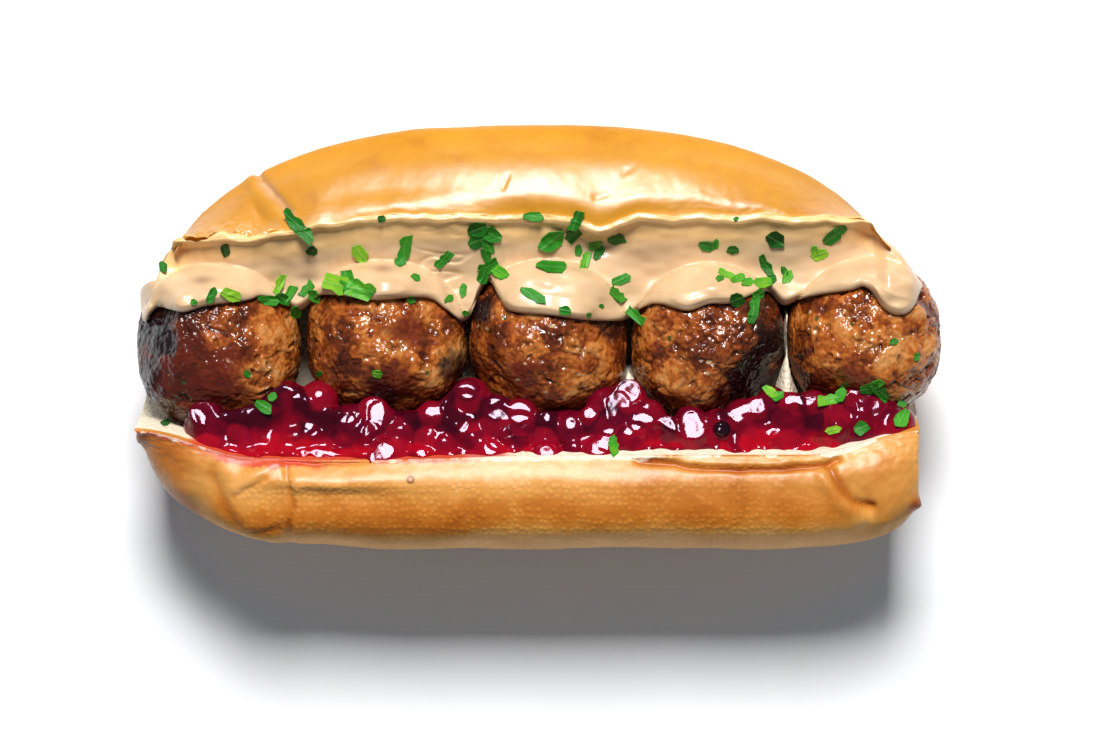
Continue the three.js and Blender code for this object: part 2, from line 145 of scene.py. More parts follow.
def lumps(points, seed):
    # For each point: distance to the nearest and second nearest lump centre, and that lump's own number
    base = np.floor(points).astype(np.int64)
    nearest = np.full(len(points), 9.0)
    second = nearest.copy()
    own = np.zeros(len(points))
    for corner in product((-1, 0, 1), repeat=3):
        c = base + np.array(corner)
        centre = c + np.stack([hashed(c[:, 0], c[:, 1], c[:, 2], seed + k) for k in range(3)], axis=1)
        d = np.sqrt(((points - centre) ** 2).sum(axis=1))
        closer = d < nearest
        second = np.where(closer, nearest, np.minimum(second, d))
        own = np.where(closer, hashed(c[:, 0], c[:, 1], c[:, 2], seed + 5), own)
        nearest = np.minimum(nearest, d)
    return nearest, second, own


def nearPath(x, y, path):
    # Distance to a line of points in plan, and the same with a sign: plus to its left, minus to its right
    best, signed = np.full(np.shape(x), 1e9), np.zeros(np.shape(x))
    for (x0, y0), (x1, y1) in zip(path, path[1:]):
        dx, dy = x1 - x0, y1 - y0
        along = np.clip(((x - x0) * dx + (y - y0) * dy) / (dx * dx + dy * dy), 0, 1)
        d = np.hypot(x - x0 - along * dx, y - y0 - along * dy)
        left = np.sign(dx * (y - y0) - dy * (x - x0))
        closer = d < best
        best, signed = np.where(closer, d, best), np.where(closer, d * left, signed)
    return best, signed


# Meshes

def pointsOf(mesh):
    flat = np.empty(len(mesh.vertices) * 3, np.float32)
    mesh.vertices.foreach_get("co", flat)
    return flat.reshape(-1, 3).astype(float)


def dress(mesh, points, marks):
    # Moves a mesh to points in millimetres, and stores marks that the finishes read
    mesh.vertices.foreach_set("co", ((points + designShift) / 1000).astype(np.float32).ravel())
    for name, values in marks.items():
        values = np.broadcast_to(values, len(points)).astype(np.float32)
        mesh.attributes.new(name, "FLOAT", "POINT").data.foreach_set("value", values)
    mesh.update()


def meshFrom(bm, name):
    mesh = bpy.data.meshes.new(name)
    bm.to_mesh(mesh)
    bm.free()
    return mesh


def loftMesh(name, points, marks):
    # A grid bent to points[i, j], with its seam and ends merged and its faces outwards
    columns, rows = points.shape[0] - 1, points.shape[1] - 1
    bm = bmesh.new()
    bmesh.ops.create_grid(bm, x_segments=columns, y_segments=rows, size=0.5)
    mesh = meshFrom(bm, name)
    flat = pointsOf(mesh)
    i = np.rint((flat[:, 0] + 0.5) * columns).astype(int)
    j = np.rint((flat[:, 1] + 0.5) * rows).astype(int)
    spread = {key: np.broadcast_to(mark, points.shape[:2])[i, j] for key, mark in marks.items()}
    dress(mesh, points[i, j], spread)
    bm = bmesh.new()
    bm.from_mesh(mesh)
    bmesh.ops.remove_doubles(bm, verts=bm.verts, dist=2e-6)
    bmesh.ops.dissolve_degenerate(bm, edges=bm.edges, dist=1e-7)
    bmesh.ops.recalc_face_normals(bm, faces=bm.faces)
    bm.to_mesh(mesh)
    bm.free()
    return mesh


def gridNormals(points):
    # Unit normals of a grid of points, by its two directions
    across = np.gradient(points, axis=1)
    along = np.gradient(points, axis=0)
    normal = np.cross(along, across)
    return normal / (np.linalg.norm(normal, axis=-1, keepdims=True) + 1e-9)


def addPiece(name, mesh, finish, nodes=()):
    piece = bpy.data.objects.new(name, mesh)
    scene.collection.objects.link(piece)
    mesh.materials.clear()
    mesh.materials.append(finish)
    mesh.polygons.foreach_set("use_smooth", np.ones(len(mesh.polygons), bool))
    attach(piece, "root")
    if nodes:
        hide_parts(*nodes)
    print(f"{name}: {len(mesh.polygons)} faces")
    return piece


# Finishes

class Sock:
    # A shader socket in a sum: each operator adds a Math node
    def __init__(self, finish, socket):
        self.finish, self.socket = finish, socket

    def sum(self, operation, a, b):
        return self.finish.node("Math", {"operation": operation}, {0: a, 1: b})

    def __add__(self, other):
        return self.sum("ADD", self, other)

    def __radd__(self, other):
        return self.sum("ADD", other, self)

    def __sub__(self, other):
        return self.sum("SUBTRACT", self, other)

    def __rsub__(self, other):
        return self.sum("SUBTRACT", other, self)

    def __mul__(self, other):
        return self.sum("MULTIPLY", self, other)

    def least(self, other):
        return self.sum("MINIMUM", self, other)

    def step(self, low, high):
        # Eased from 0 at low to 1 at high
        return self.finish.node("MapRange", {"interpolation_type": "SMOOTHSTEP"}, {0: self, 1: low, 2: high})


class Finish:
    # A material: one Principled shader, whose fixed values are set on its own sockets
    def __init__(self, name, fixed):
        self.material = bpy.data.materials.new(name)
        self.material.use_nodes = True
        self.tree = self.material.node_tree
        self.tree.nodes.clear()
        self.shader = self.tree.nodes.new("ShaderNodeBsdfPrincipled")
        output = self.tree.nodes.new("ShaderNodeOutputMaterial")
        self.tree.links.new(self.shader.outputs[0], output.inputs[0])
        self.where = self.node("TexCoord", out="Object")
        for socket, value in fixed.items():
            self.shader.inputs[socket].default_value = value

    def node(self, kind, settings=None, sockets=None, out=0):
        made = self.tree.nodes.new("ShaderNode" + kind)
        for key, value in (settings or {}).items():
            if key == "stops":
                self.setStops(made.color_ramp, value)
            else:
                setattr(made, key, value)
        for key, value in (sockets or {}).items():
            self.feed(made.inputs[key], value)
        return Sock(self, made.outputs[out])

    def setStops(self, ramp, stops):
        while len(ramp.elements) < len(stops):
            ramp.elements.new(1)
        for element, (at, colour) in zip(ramp.elements, stops):
            element.position = at
            element.color = (*colour, 1)

    def feed(self, socket, value):
        if isinstance(value, Sock):
            self.tree.links.new(value.socket, socket)
        elif isinstance(value, tuple) and len(value) == 3 and socket.type == "RGBA":
            socket.default_value = (*value, 1)
        else:
            socket.default_value = value

    def mark(self, name):
        return self.node("Attribute", {"attribute_name": name}, out="Fac")

    def noise(self, size, detail, rough=0.55):
        # size is the pattern's own size in millimetres
        sockets = {"Vector": self.where, "Scale": 1000 / size, "Detail": detail, "Roughness": rough}
        return self.node("TexNoise", {}, sockets)

    def cells(self, size, where=None, random=1.0):
        sockets = {"Vector": where or self.where, "Scale": 1000 / size, "Randomness": random}
        return self.node("TexVoronoi", {}, sockets, out="Distance")

    def stretched(self, x, y, z):
        return self.node("Mapping", {}, {"Vector": self.where, "Scale": (x, y, z)})

    def ramp(self, value, stops):
        return self.node("ValToRGB", {"stops": stops}, {0: value})

    def blend(self, share, a, b):
        return self.node("Mix", {"data_type": "RGBA"}, {0: share, 6: a, 7: b}, out=2)

    def bump(self, height, depth, strength):
        # depth is the height's full size in millimetres
        return self.node("Bump", {}, {"Height": height, "Distance": depth / 1000, "Strength": strength})

    def finish(self, **varying):
        for socket, value in varying.items():
            self.feed(self.shader.inputs[socket.replace("_", " ")], value)
        return self.material


# Meatballs

balls = {
    "squareness": 2.25,
    "flatSoftness": 0.7,
    "subdivisions": 7,
    "uneven": [(0.55, 2.1, 0), (0.42, 5.3, 3)],  # height, fineness, step of the noise seed
    "pressedEven": 0.8,  # how much evener the faces that touch the neighbours are
    # place, half sizes, reach to the neighbours, noise seed, seared flats as in the solids
    "row": [
        dict(x=-67.5, y=-2.2, half=(17.7, 17.4, 16.6), sides=(18.4, 17.8), seed=11,
             flats=((-0.78, 0.1, 0.62, 15.6), (0.1, -0.62, 0.78, 16.4))),
        dict(x=-32.1, y=-0.8, half=(17.4, 16.8, 17.0), sides=(17.7, 17.2), seed=23,
             flats=((0.0, -0.8, 0.6, 15.6), (0.45, 0.2, 0.87, 16.4))),
        dict(x=1.9, y=-0.9, half=(17.2, 16.9, 17.0), sides=(17.0, 16.9), seed=37,
             flats=((-0.5, -0.55, 0.67, 16.2), (0.72, 0.1, 0.69, 16.2))),
        dict(x=35.6, y=-1.5, half=(16.6, 16.7, 16.9), sides=(16.6, 16.6), seed=41,
             flats=((0.6, -0.6, 0.53, 13.6), (-0.4, -0.1, 0.91, 16.3))),
        dict(x=68.6, y=-0.5, half=(16.4, 16.6, 16.7), sides=(16.6, 17.2), seed=59,
             flats=((-0.3, -0.75, 0.59, 16.0), (0.25, 0.1, 0.96, 16.2))),
    ],
}


def meatballRadius(ball, way):
    parts = np.abs(way / np.array(ball["half"])) ** balls["squareness"]
    pressed = [-(parts.sum(axis=-1) ** (-1 / balls["squareness"]))]
    planes = [(-1, 0, 0, ball["sides"][0]), (1, 0, 0, ball["sides"][1]), *ball["flats"]]
    for *plane, reach in planes:
        along = way @ np.array(plane)
        pressed.append(np.where(along > 0.4, -reach / np.maximum(along, 0.4), -1e9))
    smooth = -softMax(pressed, balls["flatSoftness"])
    x, y, z = way[..., 0], way[..., 1], way[..., 2]
    uneven = 0
    for height, fine, step in balls["uneven"]:
        uneven = uneven + height * valueNoise(x * fine, y * fine, z * fine, ball["seed"] + step)
    return smooth + uneven * (1 - balls["pressedEven"] * smoothStep(0.75, 0.95, np.abs(x)))


def meatballTop(ball, x, y):
    # Height of a meatball's top over a point of the plan
    dx, dy = x - ball["x"], y - ball["y"]
    inside = 1 - (dx / ball["half"][0]) ** 2 - (dy / ball["half"][1]) ** 2
    top = ballHeight + 30 * inside
    over = inside >= 0.02
    px, py = dx[over], dy[over]
    rise = ball["half"][2] * np.sqrt(inside[over])
    for _ in range(6):
        point = np.stack([px, py, rise], axis=-1)
        far = np.linalg.norm(point, axis=-1, keepdims=True)
        reach = meatballRadius(ball, point / far)
        rise = np.sqrt(np.maximum(reach**2 - px**2 - py**2, 4))
    top[over] = ballHeight + rise
    return top


mince = {
    # mean radius, sizes of the lumps and grains, and depths of what breaks the surface
    "radius": 17, "lump": 3.4, "crack": 0.36, "grain": 1.05, "grainDepth": 0.2, "swell": 0.35, "rough": 0.13,
    "pit": 0.7, "bend": 1.1, "wrinkle": 0.16, "highest": 0.35, "sunk": 0.1,
    # seared or charred patches of each meatball: place from its centre, width, strength
    "char": [
        [(-12.5, 3, 6.5, 1.0), (-5, 5, 4, 0.5), (-14, -6, 5, 0.7), (6, -13, 5, 0.45), (-6, 13, 5, 0.4)],
        [(-0.5, -12.5, 5.5, 0.75), (14, -6, 4, 0.7), (-15, -2, 3.5, 0.5)],
        [(-14, 6, 4, 0.8), (14, 2, 3.5, 0.6), (-4, -14, 4, 0.35)],
        [(9.5, -8.5, 7.5, 1.15), (13, 0, 5.5, 0.9), (2, -15, 5, 0.6)],
        [(-14, -4, 3.5, 0.5), (2, -15, 4, 0.4), (14, 6, 4, 0.3)],
    ],
    # smooth seared skin, where the mince shows little
    "seared": [
        [(-11, -2, 8.5), (1, -7, 6)],
        [(1, -12, 6.5), (5, 2, 4)],
        [(-6, -8, 4)],
        [(10, -8, 6.5)],
        [(-3, -10, 5)],
    ],
    "tone": [0.28, 0.57, 0.45, 0.44, 0.58],
    "lean": [0.03, 0.004, 0, -0.012, 0],  # paler to the right
}


def meatballMesh(index):
    ball = balls["row"][index]
    bm = bmesh.new()
    bmesh.ops.create_icosphere(bm, subdivisions=balls["subdivisions"], radius=1)
    mesh = meshFrom(bm, f"fried_meatball_{index + 1}")
    way = pointsOf(mesh)
    way /= np.linalg.norm(way, axis=1, keepdims=True)
    seed = ball["seed"]
    at = way * mince["radius"]
    bent = at + np.stack([mince["bend"] * fineNoise(at / 5 + k * 9, seed + k) for k in range(3)], axis=1)
    plan = at[:, :2]
    above = smoothStep(-6, 4, at[:, 2])
    char, seared = np.zeros(len(at)), np.zeros(len(at))
    ragged = 1 + 0.5 * fineNoise(at / 4, seed + 9, 3)
    for x, y, width, strength in mince["char"][index]:
        far = np.hypot(plan[:, 0] - x, plan[:, 1] - y) / width
        char = np.maximum(char, strength * above * smoothStep(1.35, 0.35, far * ragged))
    for x, y, width in mince["seared"][index]:
        far = np.hypot(plan[:, 0] - x, plan[:, 1] - y) / width
        seared = np.maximum(seared, above * smoothStep(1.3, 0.5, far * ragged))
    # the side towards the jam, away from the light, is marked seared too: painted shade as a darker red
    seared = np.maximum(seared, 0.65 * above * smoothStep(-9, -14, plan[:, 1] + 3 * (ragged - 1)))
    near, second, own = lumps(bent / mince["lump"], seed)
    crack = 1 - smoothStep(0.0, 0.24, second - near)
    nearFine, secondFine, ownFine = lumps(bent / mince["grain"] + 31, seed + 4)
    crackFine = 1 - smoothStep(0.0, 0.35, secondFine - nearFine)
    broken = smoothStep(-0.15, 0.5, fineNoise(at / 6, seed + 20, 2))  # cracks open only here and there
    rough = 1 - 0.8 * seared
    pit = smoothStep(0.42, 0.7, fineNoise(bent / 2.6, seed + 30, 2)) * rough
    height = mince["swell"] * fineNoise(at / 5.5, seed + 12, 2) * rough
    height += mince["crack"] * (0.55 * (own - 0.5) - crack * broken) * rough
    height -= mince["grainDepth"] * crackFine * (0.35 + 0.65 * broken) * rough
    height += mince["rough"] * fineNoise(bent / 1.1, seed + 40, 3) * (1 - 0.55 * seared)
    height -= mince["pit"] * pit
    height -= mince["wrinkle"] * seared * np.abs(fineNoise(bent / np.array([2.2, 0.9, 2.2]), seed + 60, 2))
    height = np.minimum(height, mince["highest"]) - mince["sunk"]
    height = mix(height, np.minimum(height, 0), smoothStep(0.8, 0.93, np.abs(way[:, 0])))
    radius = meatballRadius(ball, way) + height
    points = np.array([ball["x"], ball["y"], ballHeight]) + way * radius[:, None]
    # painted shade: darker colour in the cracks and pits
    hollow = np.clip(0.75 * crack * broken * rough + 0.5 * crackFine * broken * rough + 0.8 * pit, 0, 1)
    tone = mince["tone"][index] + mince["lean"][index] * plan[:, 0]
    tone = np.clip(tone + 0.35 * (own - 0.5) + 0.2 * (ownFine - 0.5), 0, 1)
    dress(mesh, points, {"char": np.clip(char, 0, 1), "seared": seared, "hollow": hollow, "tone": tone})
    return mesh


def meatFinish():
    f = Finish("friedMince", {"Specular IOR Level": 0.45})
    char, seared, hollow, tone = (f.mark(name) for name in ("char", "seared", "hollow", "tone"))
    patch = f.noise(9, 3)
    speck = f.noise(0.9, 2, 0.6)
    grain = f.noise(1.5, 1, 0.4)
    warm = (tone + (patch - 0.5) * 1.3 + (speck - 0.5) * 0.5).step(0.0, 1.0)
    base = f.ramp(warm, [(0.0, (0.05, 0.009, 0.003)), (0.3, (0.17, 0.03, 0.005)), (0.55, (0.34, 0.076, 0.01)),
                         (0.78, (0.5, 0.15, 0.024)), (1.0, (0.58, 0.25, 0.075))])
    # darker red on the seared skin, and painted shade on the side away from the light
    red = f.blend(seared * 0.8, base, (0.13, 0.014, 0.005))
    # painted shade in the cracks and pits, as a near-black brown
    dark = f.blend((hollow * 0.62).least(1), red, (0.05, 0.01, 0.003))
    charTone = f.ramp(speck, [(0.3, (0.007, 0.002, 0.002)), (0.6, (0.018, 0.006, 0.006)),
                              (0.8, (0.045, 0.016, 0.016))])
    black = f.blend((char + (speck - 0.5) * 0.5 * char).step(0.2, 0.85), dark, charTone)
    herb = f.cells(4.6).step(0.14, 0.09) * f.noise(3, 1).step(0.5, 0.56)
    onion = f.cells(6.1, where=f.stretched(1, 1.6, 1.2)).step(0.15, 0.1) * f.noise(5, 1).step(0.52, 0.58)
    withHerb = f.blend(herb * 0.85, black, (0.02, 0.06, 0.012))
    colour = f.blend(onion * 0.7 * (1 - char), withHerb, (0.62, 0.42, 0.22))
    shine = f.noise(2.4, 3).step(0.35, 0.65)
    height = grain * 0.9 - f.cells(1.3) * 0.5
    return f.finish(Base_Color=colour, Roughness=0.12 + shine * 0.12, Normal=f.bump(height, 0.38, 0.9))


# The roll: the same section and outline as the solid, then finer folds, creases and tears

roll = {
    # section from the domed lip round the spine to the flat lip, outside and inside
    "outer": [(24.8, 52.5), (29.4, 52.8), (38.4, 48.7), (44.6, 39.0), (43.0, 21.0), (33.0, 5.6),
              (11.5, -1.5), (-11.5, -1.5), (-31.0, 4.8), (-40.5, 19.5), (-45.2, 37.5), (-41.0, 49.8),
              (-31.5, 52.8), (-25.4, 51.2)],
    "inner": [(24.0, 51.7), (20.9, 40.0), (17.6, 30.6), (8.6, 18.6), (-8.6, 18.6), (-17.6, 30.6),
              (-20.9, 40.0), (-24.8, 50.2)],
    "lastShare": 0.985,  # the share of its length from which the ends close
    # how far each end reaches at the domed lip, the spine and the flat lip
    "leftReach": [(75.5,), (84.0,), (84.2,)],
    "rightReach": [(73.0,), (80.4,), (79.2,)],
    "spineBluntness": 3.2,
    # outline in plan: half width, then length and bluntness of each end
    "domedPlan": {"half": 45, "left": (81.5, 2.35), "right": (78.2, 2.3)},
    "flatPlan": {"half": 45.8, "left": (85, 4.0), "right": (81.2, 8)},
    "crumbHalf": 19.6,  # half width of the slit
    "pressedGap": 0.9,  # between a meatball and the crumb that it presses in
    "endDrop": 3.2, "raisedLip": 1.2, "rimBulge": 0.35,
    # how the slit's lips run: their closing and taper, and a dip of the domed lip (height, place, width)
    "lipClosing": 0.42, "leftTaper": 0.16, "flatEnds": 0.2, "flatSwell": 0.04,
    "lipDip": (-2.4, 12, 4.5), "lipRag": 0.5,
    "stations": 382, "endRows": 9, "outerRows": 152, "innerRows": 66, "rimRows": 5,
    # fine relief: how far the creases wander, and its heights, in pairs where two places differ
    "wander": 0.35, "soft": (0.16, 0.09), "skin": (0.025, 0.06), "tornRag": 0.8, "flapRise": 0.6,
    "nubRise": 1.3, "endWrinkle": 0.16,
    # large relief: height, place along, half width, slant and its pivot, place across, half width
    "flatForms": {
        "knob": (2.1, -58.5, 9, 0, 0, 0.83, 0.07),
        "knobCrease": (-0.9, -52.8, 1.9, 8, 0.85, 0.84, 0.09),
        "cornerFold": (-0.8, -70.5, 2.2, -40, 0.85, 0.86, 0.06),
        "farFold": (-1.9, 67.5, 2.6, 55, 0.87, 0.87, 0.05),
        "flap": (1.3, -45, 16, 0, 0, 0.95, 0.025),
        "underFlap": (-1.1, -42, 15, 0, 0, 0.9, 0.02),
    },
    "domedForms": {"tear": (-1.5, -57.5, 2.6, 30, 0.1, 0.09, 0.06)},
    "softForm": 0.5, "roughForm": 0.9,
    # grooves and ridges: line in plan, half width, height
    "flatCreases": [
        ([(-55, -25.9), (-47, -26.5), (-39.1, -26.4), (-29.8, -25.6)], 0.5, -0.9),
        ([(20.4, -26.2), (27.8, -26.8), (35.0, -27.6), (42.6, -27.9), (50, -27.7), (57.4, -27.1),
          (62, -25.7)], 0.55, -1.3),
        ([(-62.9, -32.2), (-58.5, -29.0), (-54.5, -26.9)], 1.5, 0.6),
        ([(-63.2, -33.8), (-58.8, -31.2), (-56.5, -30.0)], 0.5, -0.35),
        ([(-52.4, -27.6), (-51.2, -34.2), (-51.8, -42.0)], 0.7, -0.6),
        ([(-50.2, -30.0), (-49.4, -36.0), (-50.2, -41.0)], 1.4, 0.3),
        ([(-67.7, -27.7), (-66.4, -34.0), (-62.9, -39.8)], 1.4, -0.5),
        ([(-61.5, -41.4), (-57.5, -41.2), (-53.8, -40.2)], 0.5, -0.5),
        ([(60.0, -27.1), (62.2, -31.9), (64.8, -34.5), (69.2, -35.8)], 0.8, -1.0),
        ([(58.5, -29.4), (61.8, -34.2), (66.0, -38.2), (71, -38.8)], 1.6, 0.7),
    ],
    "flaps": [1, 0],  # creases whose lip side stands up as a loose flap
    "nubs": [(-83.2, -21.4), (78.6, -35.2)],
    # crumb pushed up between meatballs: place and where it starts
    "gaps": [(18.9, -5, -9), (52.1, 9, 4)], "gapTop": 41,
    "blister": (-26.5, -29.9, 52.6),
    "domeCreases": [
        ([(-58.8, 33.5), (-56.9, 31.0), (-54.0, 27.8), (-51.5, 24.9)], 0.8, -1.0),
        ([(-60.4, 32.0), (-58.0, 28.4), (-56.2, 25.6)], 1.5, 0.7),
        ([(-7.4, 30.2), (-6.4, 32.8)], 0.35, -0.25),
        ([(17.2, 33.6), (19.4, 34.6)], 0.4, -0.25),
        ([(11.4, 29.6), (14.0, 30.2)], 0.4, -0.2),
    ],
    # how dark the crust is baked, from 0 to 1, and what darkens or pales it; lowFlat partly lifts the shaded
    # lower crust as painted light, and crease darkens the grooves as painted shade
    "tone": {"dome": 0.75, "lowDome": 0.25, "domeLip": 0.3, "flat": 0.82, "flatLip": (0.42, 0.66),
             "lowFlat": 0.75, "evenEnds": 0.6, "patchy": 0.1, "crease": 0.3, "left": 0.15, "leftTip": 0.45,
             "knob": 0.22},
}


def superellipse(share, bluntness):
    return (1 - np.minimum(np.abs(share), 1) ** bluntness) ** (1 / bluntness)


def lipSpread(share, side):
    # How wide the slit's lips stand along the roll, as a share of the full width
    taper, closing = roll["leftTaper"], roll["lipClosing"]
    domed = 1 - taper * smoothStep(0.4, 0.76, -share) - closing * smoothStep(0.9, 1.08, share)
    domed = domed - closing * smoothStep(0.95, 1.08, -share)
    flat = 1 + roll["flatSwell"] * hill(share, -0.45, 0.35)
    flat = flat - roll["flatEnds"] * smoothStep(0.7, 1, np.abs(share))
    return np.where(side > 0, domed, flat)


def lipLine(x, side):
    left, right = (roll[key][0 if side > 0 else -1][0] for key in ("leftReach", "rightReach"))
    share = np.clip(x / np.where(x < 0, left, right), -1, 1)
    return roll["inner"][0 if side > 0 else -1][0] * lipSpread(share, side)


def lipWave(x):
    # How far the domed lip strays from its even line
    rise, at, width = roll["lipDip"]
    return rise * hill(x, at, width) + roll["lipRag"] * lineNoise(x, 6.2, 325, 2)


def planOutline(x, side):
    width = 0
    for key, chosen in (("domedPlan", side > 0), ("flatPlan", side <= 0)):
        plan = roll[key]
        for end, here in (("left", x < 0), ("right", x >= 0)):
            length, bluntness = plan[end]
            width = width + chosen * here * plan["half"] * superellipse(x / length, bluntness)
    return width


def wallFullness(x, share, t):
    side = np.where(t < 0.5, 1, -1)
    crumb = roll["crumbHalf"] * mix(1, lipSpread(share, side), 0.7)
    half = np.where(side > 0, roll["domedPlan"]["half"], roll["flatPlan"]["half"])
    beside = np.clip((planOutline(x, side) - crumb) / (half - roll["crumbHalf"]), 0.1, 1)
    below = superellipse(share, roll["spineBluntness"])
    return mix(beside, below, smoothStep(0.3, 0.14, np.abs(t - 0.5)))


def formHeight(x, t, forms):
    height = 0
    for rise, at, width, slant, pivot, across, spread in forms.values():
        height = height + rise * hill(x + slant * (t - pivot), at, width) * hill(t, across, spread)
    return height


def crustRelief(x, t):
    # The folds, knob, tear and flap that the solid has too
    flatHalf = smoothStep(0.62, 0.72, t)
    domedHalf = 1 - smoothStep(0.28, 0.4, t)
    rough = smoothStep(-50, -58, x) * (1 - smoothStep(0.02, 0.1, t))
    inside = smoothStep(0, 0.06, t) * smoothStep(1, 0.94, t)
    soft = roll["softForm"] * valueNoise(x / 15, t * 9, 0, 4) * inside
    broken = roll["roughForm"] * rough * valueNoise(x / 3.2, t * 30, 0, 4)
    lumpy = formHeight(x, t, roll["domedForms"]) + broken
    settled = 1 - hill(t, 0.5, 0.07)
    return settled * (flatHalf * formHeight(x, t, roll["flatForms"]) + domedHalf * lumpy + soft)


def clearOfMeatballs(points):
    for ball in balls["row"]:
        centre = np.array([ball["x"], ball["y"], ballHeight])
        away = points - centre
        far = np.linalg.norm(away, axis=-1)
        near = far < 24
        way = away[near] / far[near][:, None]
        keep = meatballRadius(ball, way) + roll["pressedGap"]
        points[near] = centre + way * np.maximum(far[near], keep)[:, None]
    return points


def rollWalls(share, thin, t):
    # Outer and inner wall of the roll, for shares of its length in rows and shares of its section in columns
    share, thin = share[:, None], thin[:, None]
    near = np.clip(share, -roll["lastShare"], roll["lastShare"])
    leftReach, rightReach = (splineAt(roll[key], t)[..., 0] for key in ("leftReach", "rightReach"))
    reach = np.where(share < 0, leftReach, rightReach)
    tt = np.broadcast_to(t, reach.shape)
    fullness = wallFullness(near * reach, np.broadcast_to(near, reach.shape), tt) * thin
    innerY, innerZ = np.moveaxis(splineAt(roll["inner"], t), -1, 0)
    outerY, outerZ = np.moveaxis(splineAt(roll["outer"], t), -1, 0)
    high = smoothStep(14, 50, innerZ)
    y = innerY * mix(1, lipSpread(share, innerY), high)
    x = share * reach
    raised = smoothStep(-64, -54, x) * smoothStep(-2, -16, x) * smoothStep(0.1, 0, tt)
    z = innerZ - roll["endDrop"] * np.abs(near) ** 5 * high + roll["raisedLip"] * raised
    dy, dz = outerY - innerY, outerZ - innerZ
    stretch = fullness + crustRelief(x, tt) * smoothStep(0, 0.35, fullness) / np.hypot(dy, dz)
    outline = planOutline(near * reach, np.broadcast_to(innerY, reach.shape))
    limit = np.maximum(outline, np.abs(y) + 1.5 * thin)
    out = -softMax([-np.abs(y + dy * stretch), -limit], 0.5 * thin)
    outer = np.stack([x, out * np.sign(y), np.maximum(z + dz * stretch, 0)], axis=-1)
    return outer, np.stack([x, y, z], axis=-1)


def creaseHeight(x, y, creases, wander):
    height = 0
    for path, width, rise in creases:
        far, _ = nearPath(x + wander[0], y + wander[1], path)
        height = height + rise * np.exp(-((far / width) ** 2))
    return height


def crustBakeAndLight(x, y, z, t, domed):
    tone = roll["tone"]
    domeBake = tone["dome"] - tone["lowDome"] * smoothStep(36, 18, z)
    domeBake = domeBake - tone["domeLip"] * smoothStep(0.04, 0.0, t)
    # lowFlat pales the lower flat crust: partly its own paler underside, partly painted light that lifts the
    # band the light hardly reaches
    lowFlat = smoothStep(52, 46, z + mix(1.5, -0.8, smoothStep(-35, 0, x))) * smoothStep(3, 16, z)
    lowFlat = lowFlat * (1 - tone["evenEnds"] * smoothStep(60, 76, np.abs(x)))
    nearLip = mix(*tone["flatLip"], smoothStep(-5, 45, x))
    flatBakeAndLight = mix(nearLip, tone["flat"], smoothStep(-30, -38, y)) - tone["lowFlat"] * lowFlat
    leftEnd = tone["left"] * smoothStep(-50, -62, x) + tone["leftTip"] * smoothStep(-66, -80, x)
    onKnob = hill(x, -60, 7) * hill(y, -35, 5)
    return mix(flatBakeAndLight, domeBake, domed) + leftEnd * (t > 0.5) - tone["knob"] * onKnob


def rollShares():
    # Shares of the roll's length, closer towards its ends, and how full the wall is at each
    turn = np.linspace(0, math.pi / 2, roll["endRows"] + 1)[1:]
    even = np.linspace(-1, 1, roll["stations"] + 1)
    body = roll["lastShare"] * mix(even, np.sin(even * math.pi / 2), 0.3)
    tip = roll["lastShare"] + (1 - roll["lastShare"]) * np.sin(turn)
    share = np.concatenate([-tip[::-1], body, tip])
    return share, np.concatenate([np.cos(turn)[::-1], np.ones(len(body)), np.cos(turn)])


def crumbPushedUp(inner):
    # The slit's wall, with crumb standing up between some meatballs
    risen = inner.copy()
    for gap, start, full in roll["gaps"]:
        across = smoothStep(start, full, inner[..., 1])
        lift = hill(inner[..., 0], gap, 4.5) * across * smoothStep(-22, -19, inner[..., 1])
        risen[..., 2] = mix(risen[..., 2], np.maximum(risen[..., 2], roll["gapTop"]), lift)
    return risen


def flapStrips(x, y, wander, flatSide):
    # 1 where a loose flap stands up beside its crease
    strips = 0
    for flap in roll["flaps"]:
        path = roll["flatCreases"][flap][0]
        _, side = nearPath(x + wander[0], y + wander[1], path)
        along = smoothStep(0, 4, path[-1][0] - x)
        strips = strips + flatSide * smoothStep(0.1, 0.7, side) * smoothStep(0, 4, x - path[0][0]) * along
    return strips


